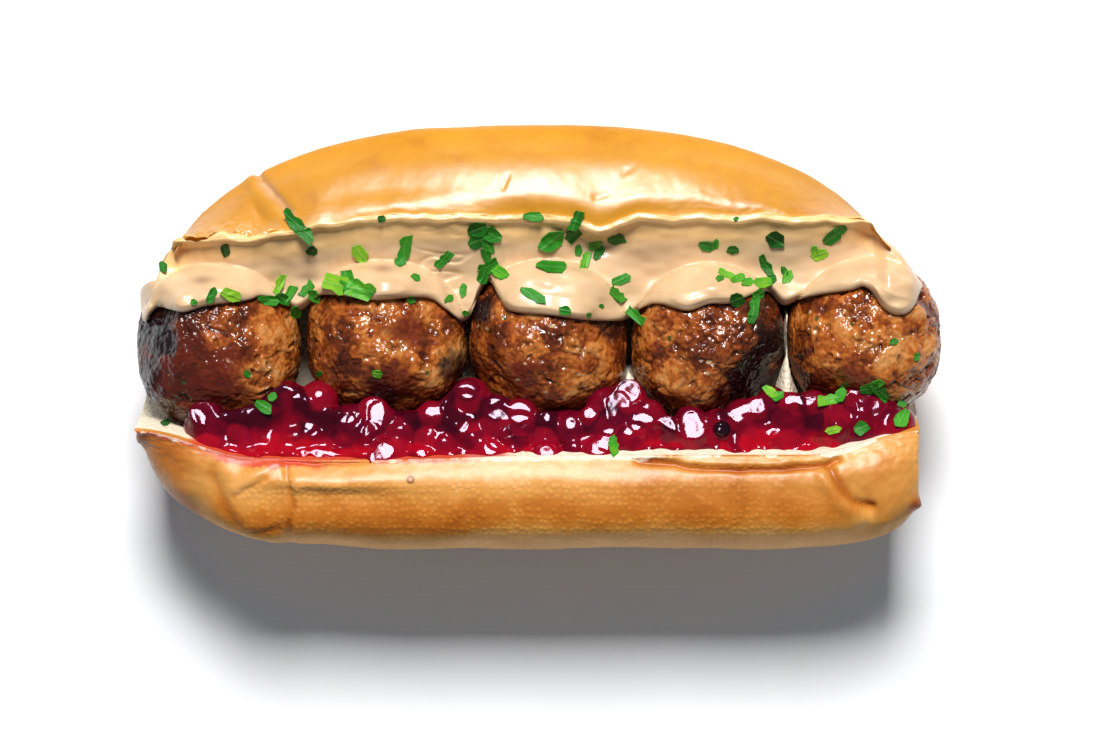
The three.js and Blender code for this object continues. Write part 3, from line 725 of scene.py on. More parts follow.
def rollMesh():
    share, thin = rollShares()
    w = np.linspace(0, 1, roll["outerRows"] + 1)
    outerT = w - 0.36 * np.sin(2 * math.pi * w) / (2 * math.pi)
    innerT = np.linspace(0, 1, roll["innerRows"] + 1)
    outer, _ = rollWalls(share, thin, outerT)
    _, inner = rollWalls(share, thin, innerT)
    atEnd = thin < 1e-6
    outer[atEnd] = rollWalls(share[atEnd], thin[atEnd], outerT)[1]
    pressed = clearOfMeatballs(crumbPushedUp(inner))

    # Finer relief of the crust, along its normals
    normal = gridNormals(outer)
    normal *= np.sign((normal * (outer - np.array([0, 0, 34]))).sum(-1).mean())
    x, y, z = outer[..., 0], outer[..., 1], outer[..., 2]
    wander = [roll["wander"] * gridNoise(outer, 4.5, 300 + k, 2, offset=7 * k) for k in range(2)]
    tt = np.broadcast_to(outerT, x.shape)
    top = smoothStep(22, 34, z)
    flatSide, domeSide = (tt > 0.6) * top, (tt < 0.4) * top
    creases = flatSide * creaseHeight(x, y, roll["flatCreases"], wander)
    creases += domeSide * creaseHeight(x, y, roll["domeCreases"], wander)
    soft = gridNoise(outer, 9, 310, 3)
    skin = gridNoise(outer, (1.6, 1.1, 1.1), 320, 3)
    lipShift = lipWave(x)
    torn = smoothStep(-52, -58, x) * (tt < 0.4) * smoothStep(0.12, 0.03, tt)
    rag = gridNoise(outer, 2.2, 330, 3)
    strip = flapStrips(x, y, wander, flatSide)
    nubs = sum(np.exp(-((x - nx) ** 2 + (y - ny) ** 2) / 1.3**2) for nx, ny in roll["nubs"]) * flatSide
    wrinkle = gridNoise(outer, (2.6, 0.8, 0.8), 340, 2)
    endSkin = smoothStep(62, 78, np.abs(x))
    relief = creases + mix(*roll["soft"], tt < 0.4) * soft + mix(*roll["skin"], smoothStep(20, 50, x)) * skin
    relief = relief + roll["tornRag"] * torn * rag + roll["flapRise"] * strip + roll["nubRise"] * nubs
    relief += roll["endWrinkle"] * endSkin * wrinkle * top
    fade = np.minimum(thin[:, None], 1) * np.clip(wallFullness(x, share[:, None], tt) * 3, 0, 1)
    outer = outer + normal * (relief * fade)[..., None]
    outer[..., 2] = np.maximum(outer[..., 2], 0)
    outer[..., 1] += lipShift * (tt < 0.5) * smoothStep(0.16, 0.0, tt) * thin[:, None]
    pressed[..., 1] += lipShift[:, :1] * smoothStep(0.2, 0.0, innerT) * thin[:, None]

    rims = []
    for column in (-1, 0):
        a, b = outer[:, column], pressed[:, column]
        bulge = np.array([0, 0, roll["rimBulge"]]) * thin[:, None]
        between = np.linspace(0, 1, roll["rimRows"] + 1)[1:-1]
        rows = [mix(a, b, s) + bulge * math.sin(math.pi * s) for s in between]
        rims.append(np.stack(rows if column else rows[::-1], axis=1))
    ring = np.concatenate([outer, rims[0], pressed[:, ::-1], rims[1], outer[:, :1]], axis=1)

    # Marks for the finish, in the same order round the ring
    def around(outerMark, innerMark):
        rim = [np.repeat(outerMark[:, column], rims[0].shape[1], axis=1) for column in ([-1], [0])]
        innerMark = np.broadcast_to(innerMark, inner.shape[:2])[:, ::-1]
        return np.clip(np.concatenate([outerMark, rim[0], innerMark, rim[1], outerMark[:, :1]], axis=1), 0, 1)

    xx, it = inner[..., 0], np.broadcast_to(innerT, inner.shape[:2])
    band = mix(0.1, 0.45, smoothStep(-16, -6, x)) - 0.6 * smoothStep(66, 72, x)
    lipGap = np.hypot(y - outer[:, -1:, 1], z - outer[:, -1:, 2])  # distance from the flat half's lip
    crumbRag = mix(0.4, 0.15, smoothStep(10, 22, x)) * rag
    crumbOut = (tt > 0.5) * smoothStep(0.35, -0.15, lipGap - band - crumbRag)
    crumbIn = smoothStep(0.02, 0.07, it) * mix(1, smoothStep(0.985, 0.95, it), smoothStep(-10, -20, xx))
    crumbIn = crumbIn * (1 - smoothStep(0.8, 0.9, it) * smoothStep(72, 75, xx))
    domed = smoothStep(0.62, 0.4, tt + 0.03 * soft)
    bake = crustBakeAndLight(x, y, z, tt, domed) + roll["tone"]["patchy"] * soft + nubs
    # painted shade: the crust darker in its grooves
    bake += roll["tone"]["crease"] * np.clip(-creases, 0, 1)
    stain = (tt > 0.5) * np.maximum(hill(x, -57, 15) * smoothStep(3.2, 0.4, lipGap + 0.8 * rag),
                                     0.55 * smoothStep(2, -20, x) * smoothStep(1.2, 0.2, lipGap + 0.5 * rag))
    stainIn = 0.9 * smoothStep(0.86, 0.94, it) * smoothStep(2, -14, xx) * smoothStep(-75, -70, xx)
    scar = np.clip(domeSide * creaseHeight(x, y, roll["domeCreases"][:1], wander) * -1.2, 0, 1) + 0.35 * torn
    pores = flatSide * smoothStep(-72, -56, x) * smoothStep(74, 40, x)
    glaze = smoothStep(0.21, 0.12, tt) + 0.46 * smoothStep(-39, -30, y) * smoothStep(0.66, 0.76, tt)
    marks = {"crumb": around(crumbOut, crumbIn), "bake": around(bake, 0.6), "stain": around(stain, stainIn),
             "scar": around(scar, 0), "pores": around(pores, 0), "gold": around(domed, it < 0.5),
             "glaze": around(glaze, 0)}
    return loftMesh("bread_roll", ring, marks)


def breadFinish():
    f = Finish("glazedBread", {"Specular IOR Level": 0.05, "Coat Roughness": 0.4, "Coat IOR": 1.8})
    crumb, bake, stain, scar, pores = (f.mark(name) for name in ("crumb", "bake", "stain", "scar", "pores"))
    gold, glaze = f.mark("gold"), f.mark("glaze")
    broad, middle, speck = f.noise(22, 3), f.noise(3.2, 3, 0.6), f.noise(0.5, 2)
    pit = f.cells(1.25, random=0.6)
    pitEdge = pit.step(0.1, 0.6)
    tone = bake + (broad - 0.5) * 0.3 + (middle - 0.5) * 0.25 + pores * (pitEdge - 0.5) * 0.09
    golden = f.ramp(tone, [(0.0, (0.52, 0.27, 0.12)), (0.3, (0.66, 0.31, 0.02)), (0.6, (0.64, 0.26, 0.002)),
                           (0.8, (0.56, 0.22, 0.002)), (1.0, (0.42, 0.11, 0.002))])
    # its palest stops carry the lifted lower crust, partly painted light
    tanned = f.ramp(tone, [(0.0, (1.0, 0.5, 0.19)), (0.25, (0.85, 0.4, 0.13)), (0.5, (0.7, 0.3, 0.06)),
                           (0.75, (0.54, 0.17, 0.02)), (1.0, (0.36, 0.08, 0.007))])
    crust = f.blend(gold, tanned, golden)
    freckle = f.cells(2.6).step(0.1, 0.05) * f.noise(7, 2).step(0.48, 0.58)
    crust = f.blend(freckle * 0.45, crust, (0.36, 0.11, 0.01))
    blister = tuple((np.array(roll["blister"]) + designShift) / 1000)
    away = f.node("VectorMath", {"operation": "DISTANCE"}, {0: f.where, 1: blister}, out="Value") * 1000
    ring = away.step(0.25, 0.5) * (1 - away.step(0.7, 1.0))
    spotted = f.blend(ring * 0.8, crust, (0.16, 0.03, 0.004))
    paleScar = f.blend(scar * (middle * 1.2).least(1), spotted, (0.7, 0.42, 0.18))
    crumbTone = f.ramp(f.noise(1.3, 4, 0.65), [(0.3, (0.8, 0.64, 0.44)), (0.6, (0.9, 0.79, 0.61))])
    bread = f.blend(crumb.step(0.35, 0.65), paleScar, crumbTone)
    juicy = f.blend((stain * (0.55 + middle)).step(0.25, 0.8) * 0.85, bread, (0.62, 0.05, 0.03))
    hole = f.cells(1.1).step(0.25, 0.5)
    shell = (1 - crumb).step(0.4, 0.7)
    holes = crumb * (hole * 0.9 + f.noise(0.8, 3) * 0.6)
    height = middle * 0.16 + speck * 0.12 + pores * (1 - pitEdge) * 0.8 + ring * 0.8 + holes
    return f.finish(Base_Color=juicy, Roughness=0.4 + crumb * 0.4 + (middle - 0.5) * 0.12,
                    Coat_Weight=shell * (glaze * (0.95 + (speck - 0.5) * 0.5)),
                    Normal=f.bump(height, 0.16, 0.8))


# Cream sauce: a thick pour whose lower edge hangs over the meatballs

sauce = {
    # level between the meatballs, thickness over them, roundness of the lower edge, depth beside them
    "ends": (-84.4, 80.4), "pool": 45.2, "coat": 2.1, "bead": 2.0, "depth": 8.0,
    "stations": 470, "topRows": 96, "underRows": 44,
    # lower edge in plan
    "lowerEdge": [(-84.6, 5.0), (-83.6, 2.6), (-82.4, 2.2), (-81.2, 4.2), (-79.4, 5.8), (-76.5, 5.2),
                  (-73.2, 4.6), (-68.7, 5.9), (-60.4, 7.1), (-57.6, 8.0), (-53.4, 6.8), (-50.6, 5.0),
                  (-47.0, 7.3), (-45.0, 8.3), (-40.6, 8.0), (-33.6, 7.1), (-23.7, 7.7), (-19.4, 5.3),
                  (-16.2, 3.0), (-14.2, 4.2), (-12.6, 8.4), (-10.4, 11.2), (-8.4, 8.0), (-5.8, 4.9),
                  (2.1, 4.0), (9.9, 3.0), (17.8, 3.1), (21.5, 5.6), (24.8, 6.4), (30.6, 4.9), (35.2, 6.3),
                  (39.9, 6.5), (44.6, 8.4), (48.0, 9.0), (51.2, 6.3), (54.9, 7.5), (59.1, 8.4),
                  (64.6, 9.2), (67.2, 9.9), (69.2, 8.4), (70.8, 5.9), (73.0, 4.3), (75.6, 4.2),
                  (77.8, 5.8), (79.4, 8.4), (80.4, 11)],
    # how far the sauce laps over the domed lip
    "lap": 0.7, "ragged": 0.5, "tornCavity": (-71, 3.2, 1.5), "endLap": (70, 73.5, 1.2),
    # where its right end reaches past the crust
    "rightEnd": [(70.0, 21.0), (73.0, 19.6), (75.0, 17.9), (78.0, 14.8), (80.4, 11.0)],
    "ahead": 1.0, "lipSlope": 0.7,  # how it climbs the crumb and then falls to the lip
    # heights of its waves, and how much thicker it lies beside the lip and at the right end
    "swell": (0.7, 0.25), "upperCoat": 2.0, "rightRise": 2.3, "ripple": 0.35, "fold": 0.5,
    # places of the clear spots
    "spots": [(-69.6, 11.3), (-32.2, 13.7), (-47.5, 12)],
}


def endClosing(x, ends, length):
    return roundEdge(np.minimum(x - ends[0], ends[1] - x) / length)


def sauceLine(x, side):
    middle = 10.6
    if side > 0:
        ragged = lineNoise(x, 3.2, 430, 3) * smoothStep(30, 12, x)
        edge = lipLine(x, 1) + lipWave(x) + sauce["lap"] + sauce["ragged"] * ragged
        centre, width, drop = sauce["tornCavity"]
        start, full, over = sauce["endLap"]
        edge = edge - drop * hill(x, centre, width) + over * smoothStep(start, full, x)
        edge = mix(edge, np.maximum(0.95 * planOutline(x, 1), 11.5), smoothStep(-72.5, -76, x))
        edge = mix(edge, np.interp(x, *np.array(sauce["rightEnd"]).T), smoothStep(70, 73, x))
    else:
        ax, ay = np.array(sauce["lowerEdge"]).T
        fine = np.linspace(0, 1, 1200)
        curve = splineAt(np.stack([ax, ay], axis=-1), fine)
        edge = np.interp(x, curve[:, 0], curve[:, 1])
    return mix(middle - 3 * (x < 0) + side * 0.8, edge, endClosing(x, sauce["ends"], 6 if side > 0 else 3.5))


def wallHeights(x, y):
    # Height of the slit's crumb under points of the plan, row by row of equal x
    t = np.linspace(0, 1, 161)
    result = np.empty(y.shape)
    reaches = {-1: roll["leftReach"][1][0], 1: roll["rightReach"][1][0]}
    share = np.clip(x / np.where(x < 0, reaches[-1], reaches[1]), -1, 1)
    outer, inner = rollWalls(share, np.ones(len(share)), t)
    for row in range(len(x)):
        slit = inner[row][np.argsort(inner[row][:, 1])]
        line = np.concatenate([slit, outer[row][:30]])  # over the domed lip the crust goes on
        result[row] = np.interp(y[row], np.maximum.accumulate(line[:, 1]), line[:, 2])
    return result


def saucePoints():
    x = mix(*sauce["ends"], (1 - np.cos(math.pi * np.linspace(0, 1, sauce["stations"] + 1))) / 2 * 0.35
            + 0.65 * np.linspace(0, 1, sauce["stations"] + 1))
    low, high = sauceLine(x, -1)[:, None], sauceLine(x, 1)[:, None]
    rows = []
    for count in (sauce["topRows"], sauce["underRows"]):
        a = np.linspace(0, 1, count + 1)
        rows.append(mix(a, (1 - np.cos(math.pi * a)) / 2, 0.75))
    window = np.hanning(41) / np.hanning(41).sum()
    lipTop = np.convolve(np.pad(wallHeights(x, high)[:, 0], 20, "edge"), window, "valid")[:, None]
    surfaces = []
    for a, under in zip(rows, (False, True)):
        y = low + (high - low) * a
        xx = np.broadcast_to(x[:, None], y.shape)
        fromLow, fromHigh = y - low, high - y
        hills = [meatballTop(ball, xx, y) for ball in balls["row"]]
        highest = np.maximum.reduce(hills)
        wall = wallHeights(x, y + sauce["ahead"] - lipWave(xx) * smoothStep(14, 22, y))
        broad, fine = sauce["swell"]
        swell = broad * valueNoise(xx / 9, y / 6, 0, 71) + fine * valueNoise(xx / 4, y / 4, 0, 73)
        coat = sauce["coat"] + 0.5 * swell + sauce["upperCoat"] * smoothStep(5, 14, y)
        body = softMax([*(dome + coat for dome in hills), sauce["pool"] + swell], 2.3)
        body = softMax([body, wall + 0.45, lipTop + 0.2 - sauce["lipSlope"] * fromHigh], 0.6)
        body = body + sauce["rightRise"] * smoothStep(69.5, 72.5, xx) * smoothStep(6, 12, y)
        edge = roundEdge(fromLow / sauce["bead"]) * endClosing(xx, sauce["ends"], 5)
        lip = smoothStep(0, 0.9, fromHigh)
        start, full, _ = sauce["endLap"]
        overEnd = smoothStep(start, full, xx)
        sag = 5 * smoothStep(-80, -86, xx) + 2 * smoothStep(77, 81, xx)
        floor = np.maximum.reduce([highest - 0.15, wall - 0.4, body - sauce["depth"]]) - sag
        rim = 0.55 * (body - sag - floor) * hill(fromLow, 2.6, 1.7) * smoothStep(48, 51, highest)
        if under:
            depth = (body - sag - floor) * roundEdge(fromLow / 2.2) * endClosing(xx, sauce["ends"], 5)
            middle = mix(floor, body - sag, 0.35)
            z = mix(middle, floor, np.clip(depth / np.maximum(body - sag - floor, 1e-3), 0, 1))
        else:
            middle = mix(floor, body - sag, 0.35)
            z = mix(middle, body - sag + np.minimum(rim, 0.7), edge)
            z -= 0.3 * (1 - lip) + 4.5 * overEnd * (1 - roundEdge(fromHigh / 2.6))
            place = np.stack([xx, y, z], axis=-1)
            ripple = gridNoise(place, (7, 4, 9), 410, 2)
            folds = np.abs(gridNoise(place, (6, 3, 9), 420, offset=3))
            folded = sauce["fold"] * smoothStep(0.22, 0, folds) * hill(xx, -20, 7) * hill(y, 15, 5)
            z += edge * (sauce["ripple"] * ripple - folded)
        surfaces.append(np.stack([xx, y, z], axis=-1))
    top, bottom = surfaces
    bottom[:, 0], bottom[:, -1] = top[:, 0], top[:, -1] - np.array([0, 0, 0.8])
    return top, bottom


def sauceMesh():
    top, bottom = saucePoints()
    ring = np.concatenate([top, bottom[:, ::-1]], axis=1)
    first = ring[0].mean(axis=0)
    last = ring[-1].mean(axis=0)
    ring[0], ring[-1] = first, last
    xx, y = ring[..., 0], ring[..., 1]
    near = lipLine(xx, 1) - y
    # a tan band under the domed lip: thin sauce over the crumb, and painted warm shade where the lip's shadow
    # falls
    lipShadeBand = smoothStep(6, 3, near) * (1 - 0.8 * smoothStep(66, 74, xx))
    spots = sum(hill(xx, cx, 2.4) * hill(y, cy, 0.9) for cx, cy in sauce["spots"])
    return loftMesh("cream_sauce_pour", ring, {"thinned": lipShadeBand, "spots": spots})


def sauceFinish():
    f = Finish("creamSauce", {"Specular IOR Level": 0.5, "Coat Roughness": 0.08, "Coat IOR": 1.4,
                              "Subsurface Weight": 0.12, "Subsurface Scale": 0.002,
                              "Subsurface Radius": (1.0, 0.6, 0.35)})
    thinned, spots = f.mark("thinned"), f.mark("spots")
    broad, middle, speck = f.noise(14, 2), f.noise(2.6, 3), f.noise(0.35, 1)
    base = f.ramp(broad, [(0.3, (0.68, 0.42, 0.22)), (0.7, (0.75, 0.5, 0.28))])
    # tan, lighter colour under the lip: painted warm shade, on thin sauce
    tan = f.blend(thinned * 0.9, base, (0.95, 0.56, 0.22))
    clear = f.blend(spots * 0.7, tan, (0.26, 0.15, 0.09))
    pepper = f.cells(1.9).step(0.1, 0.05) * f.noise(4, 1).step(0.5, 0.6)
    colour = f.blend(pepper * 0.5, clear, (0.45, 0.24, 0.1))
    return f.finish(Base_Color=colour, Roughness=0.3 + middle * 0.2, Coat_Weight=0.45 + (middle - 0.5) * 0.4,
                    Normal=f.bump(middle * 0.6 + speck * 0.15, 0.12, 0.6))


# Berry jam: jelly full of whole berries

jam = {
    # level of the jelly, size of the merged mesh, berries below the surface, the spice berry and its radius
    "ends": (-74.6, 78.8), "level": 46.2, "voxel": 0.36, "filler": 110, "pepper": (38, -19.6, 1.7),
    # wet flats: depth, reach, how many are scattered, and the way they face
    "facet": 0.45, "flatReach": 3.2, "flats": 60, "facing": (0, 0.276, 0.961),
    # whole berries that show: place, radius, how far the top stands out
    "berries": [(-69.4, -18.8, 4.1, 1.2), (-62.6, -20.4, 3.6, 0.9), (-66.0, -22.6, 2.6, 0.3),
                (-52.6, -13.8, 4.3, 0.8), (-46.0, -13.6, 4.2, 0.6), (-39.2, -18.2, 4.0, 0.7),
                (-29.4, -20.9, 4.2, 2.1), (-34.6, -16.2, 3.6, 0.9), (-20.5, -19.4, 4.0, 1.0),
                (-14.3, -13.2, 4.4, 1.4), (-10.1, -19.2, 3.8, 1.1), (-3.6, -19.0, 3.9, 0.8),
                (1.3, -21.2, 3.5, 1.1), (6.4, -19.6, 4.1, 1.3), (13.6, -14.6, 4.0, 1.0),
                (18.5, -13.6, 4.2, 2.0), (21.0, -19.4, 4.3, 1.2), (31.3, -20.6, 3.9, 1.2),
                (42.7, -17.4, 4.2, 0.7), (54.1, -19.6, 4.4, 0.6), (61.0, -16.4, 4.0, 0.9),
                (70.7, -16.4, 4.1, 0.9), (74.6, -19.0, 3.4, 1.0)],
    # more wet flats, on the berries at the left
    "wetSpots": [(-49.5, -14.5), (-47.0, -17.6), (-45.2, -13.6), (-37.3, -15.0), (-36.6, -18.4)],
    # where the upper edge stands further out: place, half width, how far
    "rises": [(-52.4, 6.5, 5.6), (-15.4, 5, 6.2), (18, 4.4, 6.6), (30, 5, -1.6), (50, 9, 2.8), (64, 12, 3)],
    "bedColumns": 300, "bedRows": 40,
}


def jamLine(x, side):
    if side > 0:
        edge = -15.8 + sum(reach * hill(x, at, width) for at, width, reach in jam["rises"])
    else:
        ragged, waves = lineNoise(x, 2.6, 540, 3), lineNoise(x, 7.5, 550)
        edge = lipLine(x, -1) + 0.5 * smoothStep(19, 26, x) - 0.35 + 0.9 * ragged + 1.2 * waves
    return mix(-18.6 + side * 0.8, edge, endClosing(x, jam["ends"], 5))


def flatWall(y):
    out = -y / abs(roll["inner"][-1][0])
    return np.where(out < 0.72, 26, 30.6 + 19 * smoothStep(0.7, 1.02, out) + 8 * np.maximum(0, out - 1))


def jamTop(x, y, fromLower, fromUpper):
    swell = 0.8 * valueNoise(x / 5, y / 5, 0, 83) + 1.7
    body = softMax([jam["level"] + swell, flatWall(y) + 0.9], 0.9)
    edge = np.clip(np.minimum(fromLower / 1.8, fromUpper / 2.6), 0, 1)
    body = body - 1.1 * smoothStep(4.5, 0, fromLower)
    return body - 1.6 * (1 - roundEdge(edge)) - 5 * smoothStep(73, 79, x) - 3 * smoothStep(-71, -75, x)


def berryPlaces():
    places = []
    for x, y, radius, lift in jam["berries"]:
        z = jamTop(np.array(x), np.array(y), 9, 9) - radius + 0.55 * lift
        places.append((x, y, float(z), radius))
    draw = np.random.default_rng(15)
    for _ in range(jam["filler"]):  # berries under the jelly, of which only the tops show
        x = draw.uniform(-71, 76)
        y = mix(*(jamLine(np.array(x), side) for side in (-1, 1)), draw.uniform(0.06, 0.9))
        radius = draw.uniform(2.2, 4.3)
        z = jamTop(np.array(x), y, 9, 9) - radius + draw.uniform(-0.4, 1.4)
        places.append((float(x), float(y), float(z), float(radius)))
    x, y, radius = jam["pepper"]
    places.append((x, y, float(jamTop(np.array(x), np.array(y), 9, 9)) + 0.6, radius))
    return places


def cutWetFlats(points, berries):
    # Small wet flats that catch the light, on the berries and scattered over the jelly
    turn = np.random.default_rng(21)
    wet = [(bx, by + 0.27 * radius) for bx, by, _, radius in berries]
    for x in turn.uniform(-72, 77, jam["flats"]):
        wet.append((x, mix(*(jamLine(np.array(x), side) for side in (-1, 1)), turn.uniform(0.1, 0.9))))
    for bx, by in wet + jam["wetSpots"]:
        facing = np.array(jam["facing"]) + turn.normal(0, 0.045, 3)
        facing /= np.linalg.norm(facing)
        far = np.hypot(points[:, 0] - bx - turn.uniform(-1, 1), points[:, 1] - by)
        near = (far < jam["flatReach"]) & (points[:, 2] > 40)
        if near.any():
            along = points[near] @ facing
            proud = np.maximum(along - along.max() + jam["facet"] * turn.uniform(0.2, 1.3), 0)
            points[near] -= (proud * smoothStep(jam["flatReach"], 2.2, far[near]))[:, None] * facing


def jellyBed():
    x = mix(*jam["ends"], np.linspace(0, 1, jam["bedColumns"] + 1))
    low, high = jamLine(x, -1)[:, None], jamLine(x, 1)[:, None]
    a = (1 - np.cos(math.pi * np.linspace(0, 1, jam["bedRows"] + 1))) / 2
    y = low + (high - low) * a
    xx = np.broadcast_to(x[:, None], y.shape)
    z = jamTop(xx, y, y - low, high - y)
    wave = gridNoise(np.stack([xx, y, z], axis=-1), 5.5, 510)
    z = z + 0.1 + 1.5 * wave * np.clip((y - low) / 2, 0, 1)
    top = np.stack([xx, y, z], axis=-1)
    deepest = jamTop(xx, y, 0, 0) - 7 * endClosing(xx, jam["ends"], 6)
    bottom = np.stack([xx, y, np.minimum(z - 0.6, deepest)], axis=-1)
    ring = np.concatenate([top, bottom[:, ::-1], top[:, :1]], axis=1)
    ring[0], ring[-1] = ring[0].mean(axis=0), ring[-1].mean(axis=0)
    return loftMesh("jam_core", ring, {})


def mergedJam(berries):
    # The jelly and its berries merged into one closed mesh
    mesh = jellyBed()
    bm = bmesh.new()
    bm.from_mesh(mesh)
    for bx, by, bz, radius in berries:
        made = bmesh.ops.create_icosphere(bm, subdivisions=4, radius=radius / 1000)
        place = (np.array([bx, by, bz]) + designShift) / 1000
        bmesh.ops.translate(bm, verts=made["verts"], vec=Vector(place))
    bm.to_mesh(mesh)
    bm.free()
    core = bpy.data.objects.new("jam_core", mesh)
    scene.collection.objects.link(core)
    merge = core.modifiers.new("merge", "REMESH")
    merge.mode, merge.voxel_size, merge.use_smooth_shade = "VOXEL", jam["voxel"] / 1000, True
    ease = core.modifiers.new("ease", "SMOOTH")
    ease.factor, ease.iterations = 0.6, 12
    made = bpy.data.meshes.new_from_object(core.evaluated_get(bpy.context.evaluated_depsgraph_get()))
    bpy.data.objects.remove(core)
    made.name = "jam_and_berries"
    return made


def jamMesh():
    berries = berryPlaces()
    made = mergedJam(berries)
    points = pointsOf(made) * 1000 - designShift
    berry, own = np.zeros(len(points)), np.zeros(len(points))
    for k, (bx, by, bz, radius) in enumerate(berries):
        far = np.linalg.norm(points - np.array([bx, by, bz]), axis=1) - radius
        here = smoothStep(0.7, 0.0, far)
        own = np.where(here > berry, (k * 0.37) % 1, own)
        berry = np.maximum(berry, here)
    top = smoothStep(40, 44, points[:, 2])
    wobble = 0.4 * fineNoise(points / 3.6, 520, 1) + 0.12 * fineNoise(points / 1.7, 530, 1)
    points[:, 2] += top * wobble * (1 - 0.5 * berry)
    cutWetFlats(points, berries[:-1])
    points[:, 2] += top * 0.025 * fineNoise(points / 1.3, 560, 1)
    upper, lower = jamLine(points[:, 0], 1), jamLine(points[:, 0], -1)
    deep = smoothStep(0.15, 0.75, (points[:, 1] - lower) / (upper - lower + 1e-6))
    px, py, pz, pepperRadius = berries[-1]
    pepper = smoothStep(0.25, 0.0, np.linalg.norm(points - np.array([px, py, pz]), axis=1) - pepperRadius)
    dress(made, points, {"berry": berry, "own": own, "deep": deep, "pepper": pepper})
    return made


def jamFinish():
    f = Finish("berryJam", {"Specular IOR Level": 0.24, "Specular Tint": (0.9, 0.8, 1.0, 1.0),
                            "Subsurface Weight": 0.12, "Subsurface Scale": 0.003,
                            "Subsurface Radius": (1.0, 0.08, 0.1)})
    berry, own, deep = f.mark("berry"), f.mark("own"), f.mark("deep")
    broad, middle = f.noise(7, 2), f.noise(1.8, 3)
    jelly = f.ramp(deep * 0.65 + (broad - 0.5) * 1.9,
                   [(0.0, (0.36, 0.002, 0.01)), (0.16, (0.2, 0.001, 0.009)), (0.55, (0.045, 0.001, 0.006))])
    fruit = f.ramp(own + (middle - 0.5) * 0.4,
                   [(0.0, (0.12, 0.001, 0.011)), (0.5, (0.3, 0.003, 0.014)), (1.0, (0.06, 0.001, 0.01))])
    colour = f.blend(berry * 0.7, jelly, fruit)
    dark = f.blend(f.mark("pepper"), colour, (0.012, 0.003, 0.006))
    return f.finish(Base_Color=dark, Roughness=0.05 + middle * 0.06, Normal=f.bump(middle, 0.03, 0.4))


# Chopped parsley: thin lobed leaves that rest on what is under them

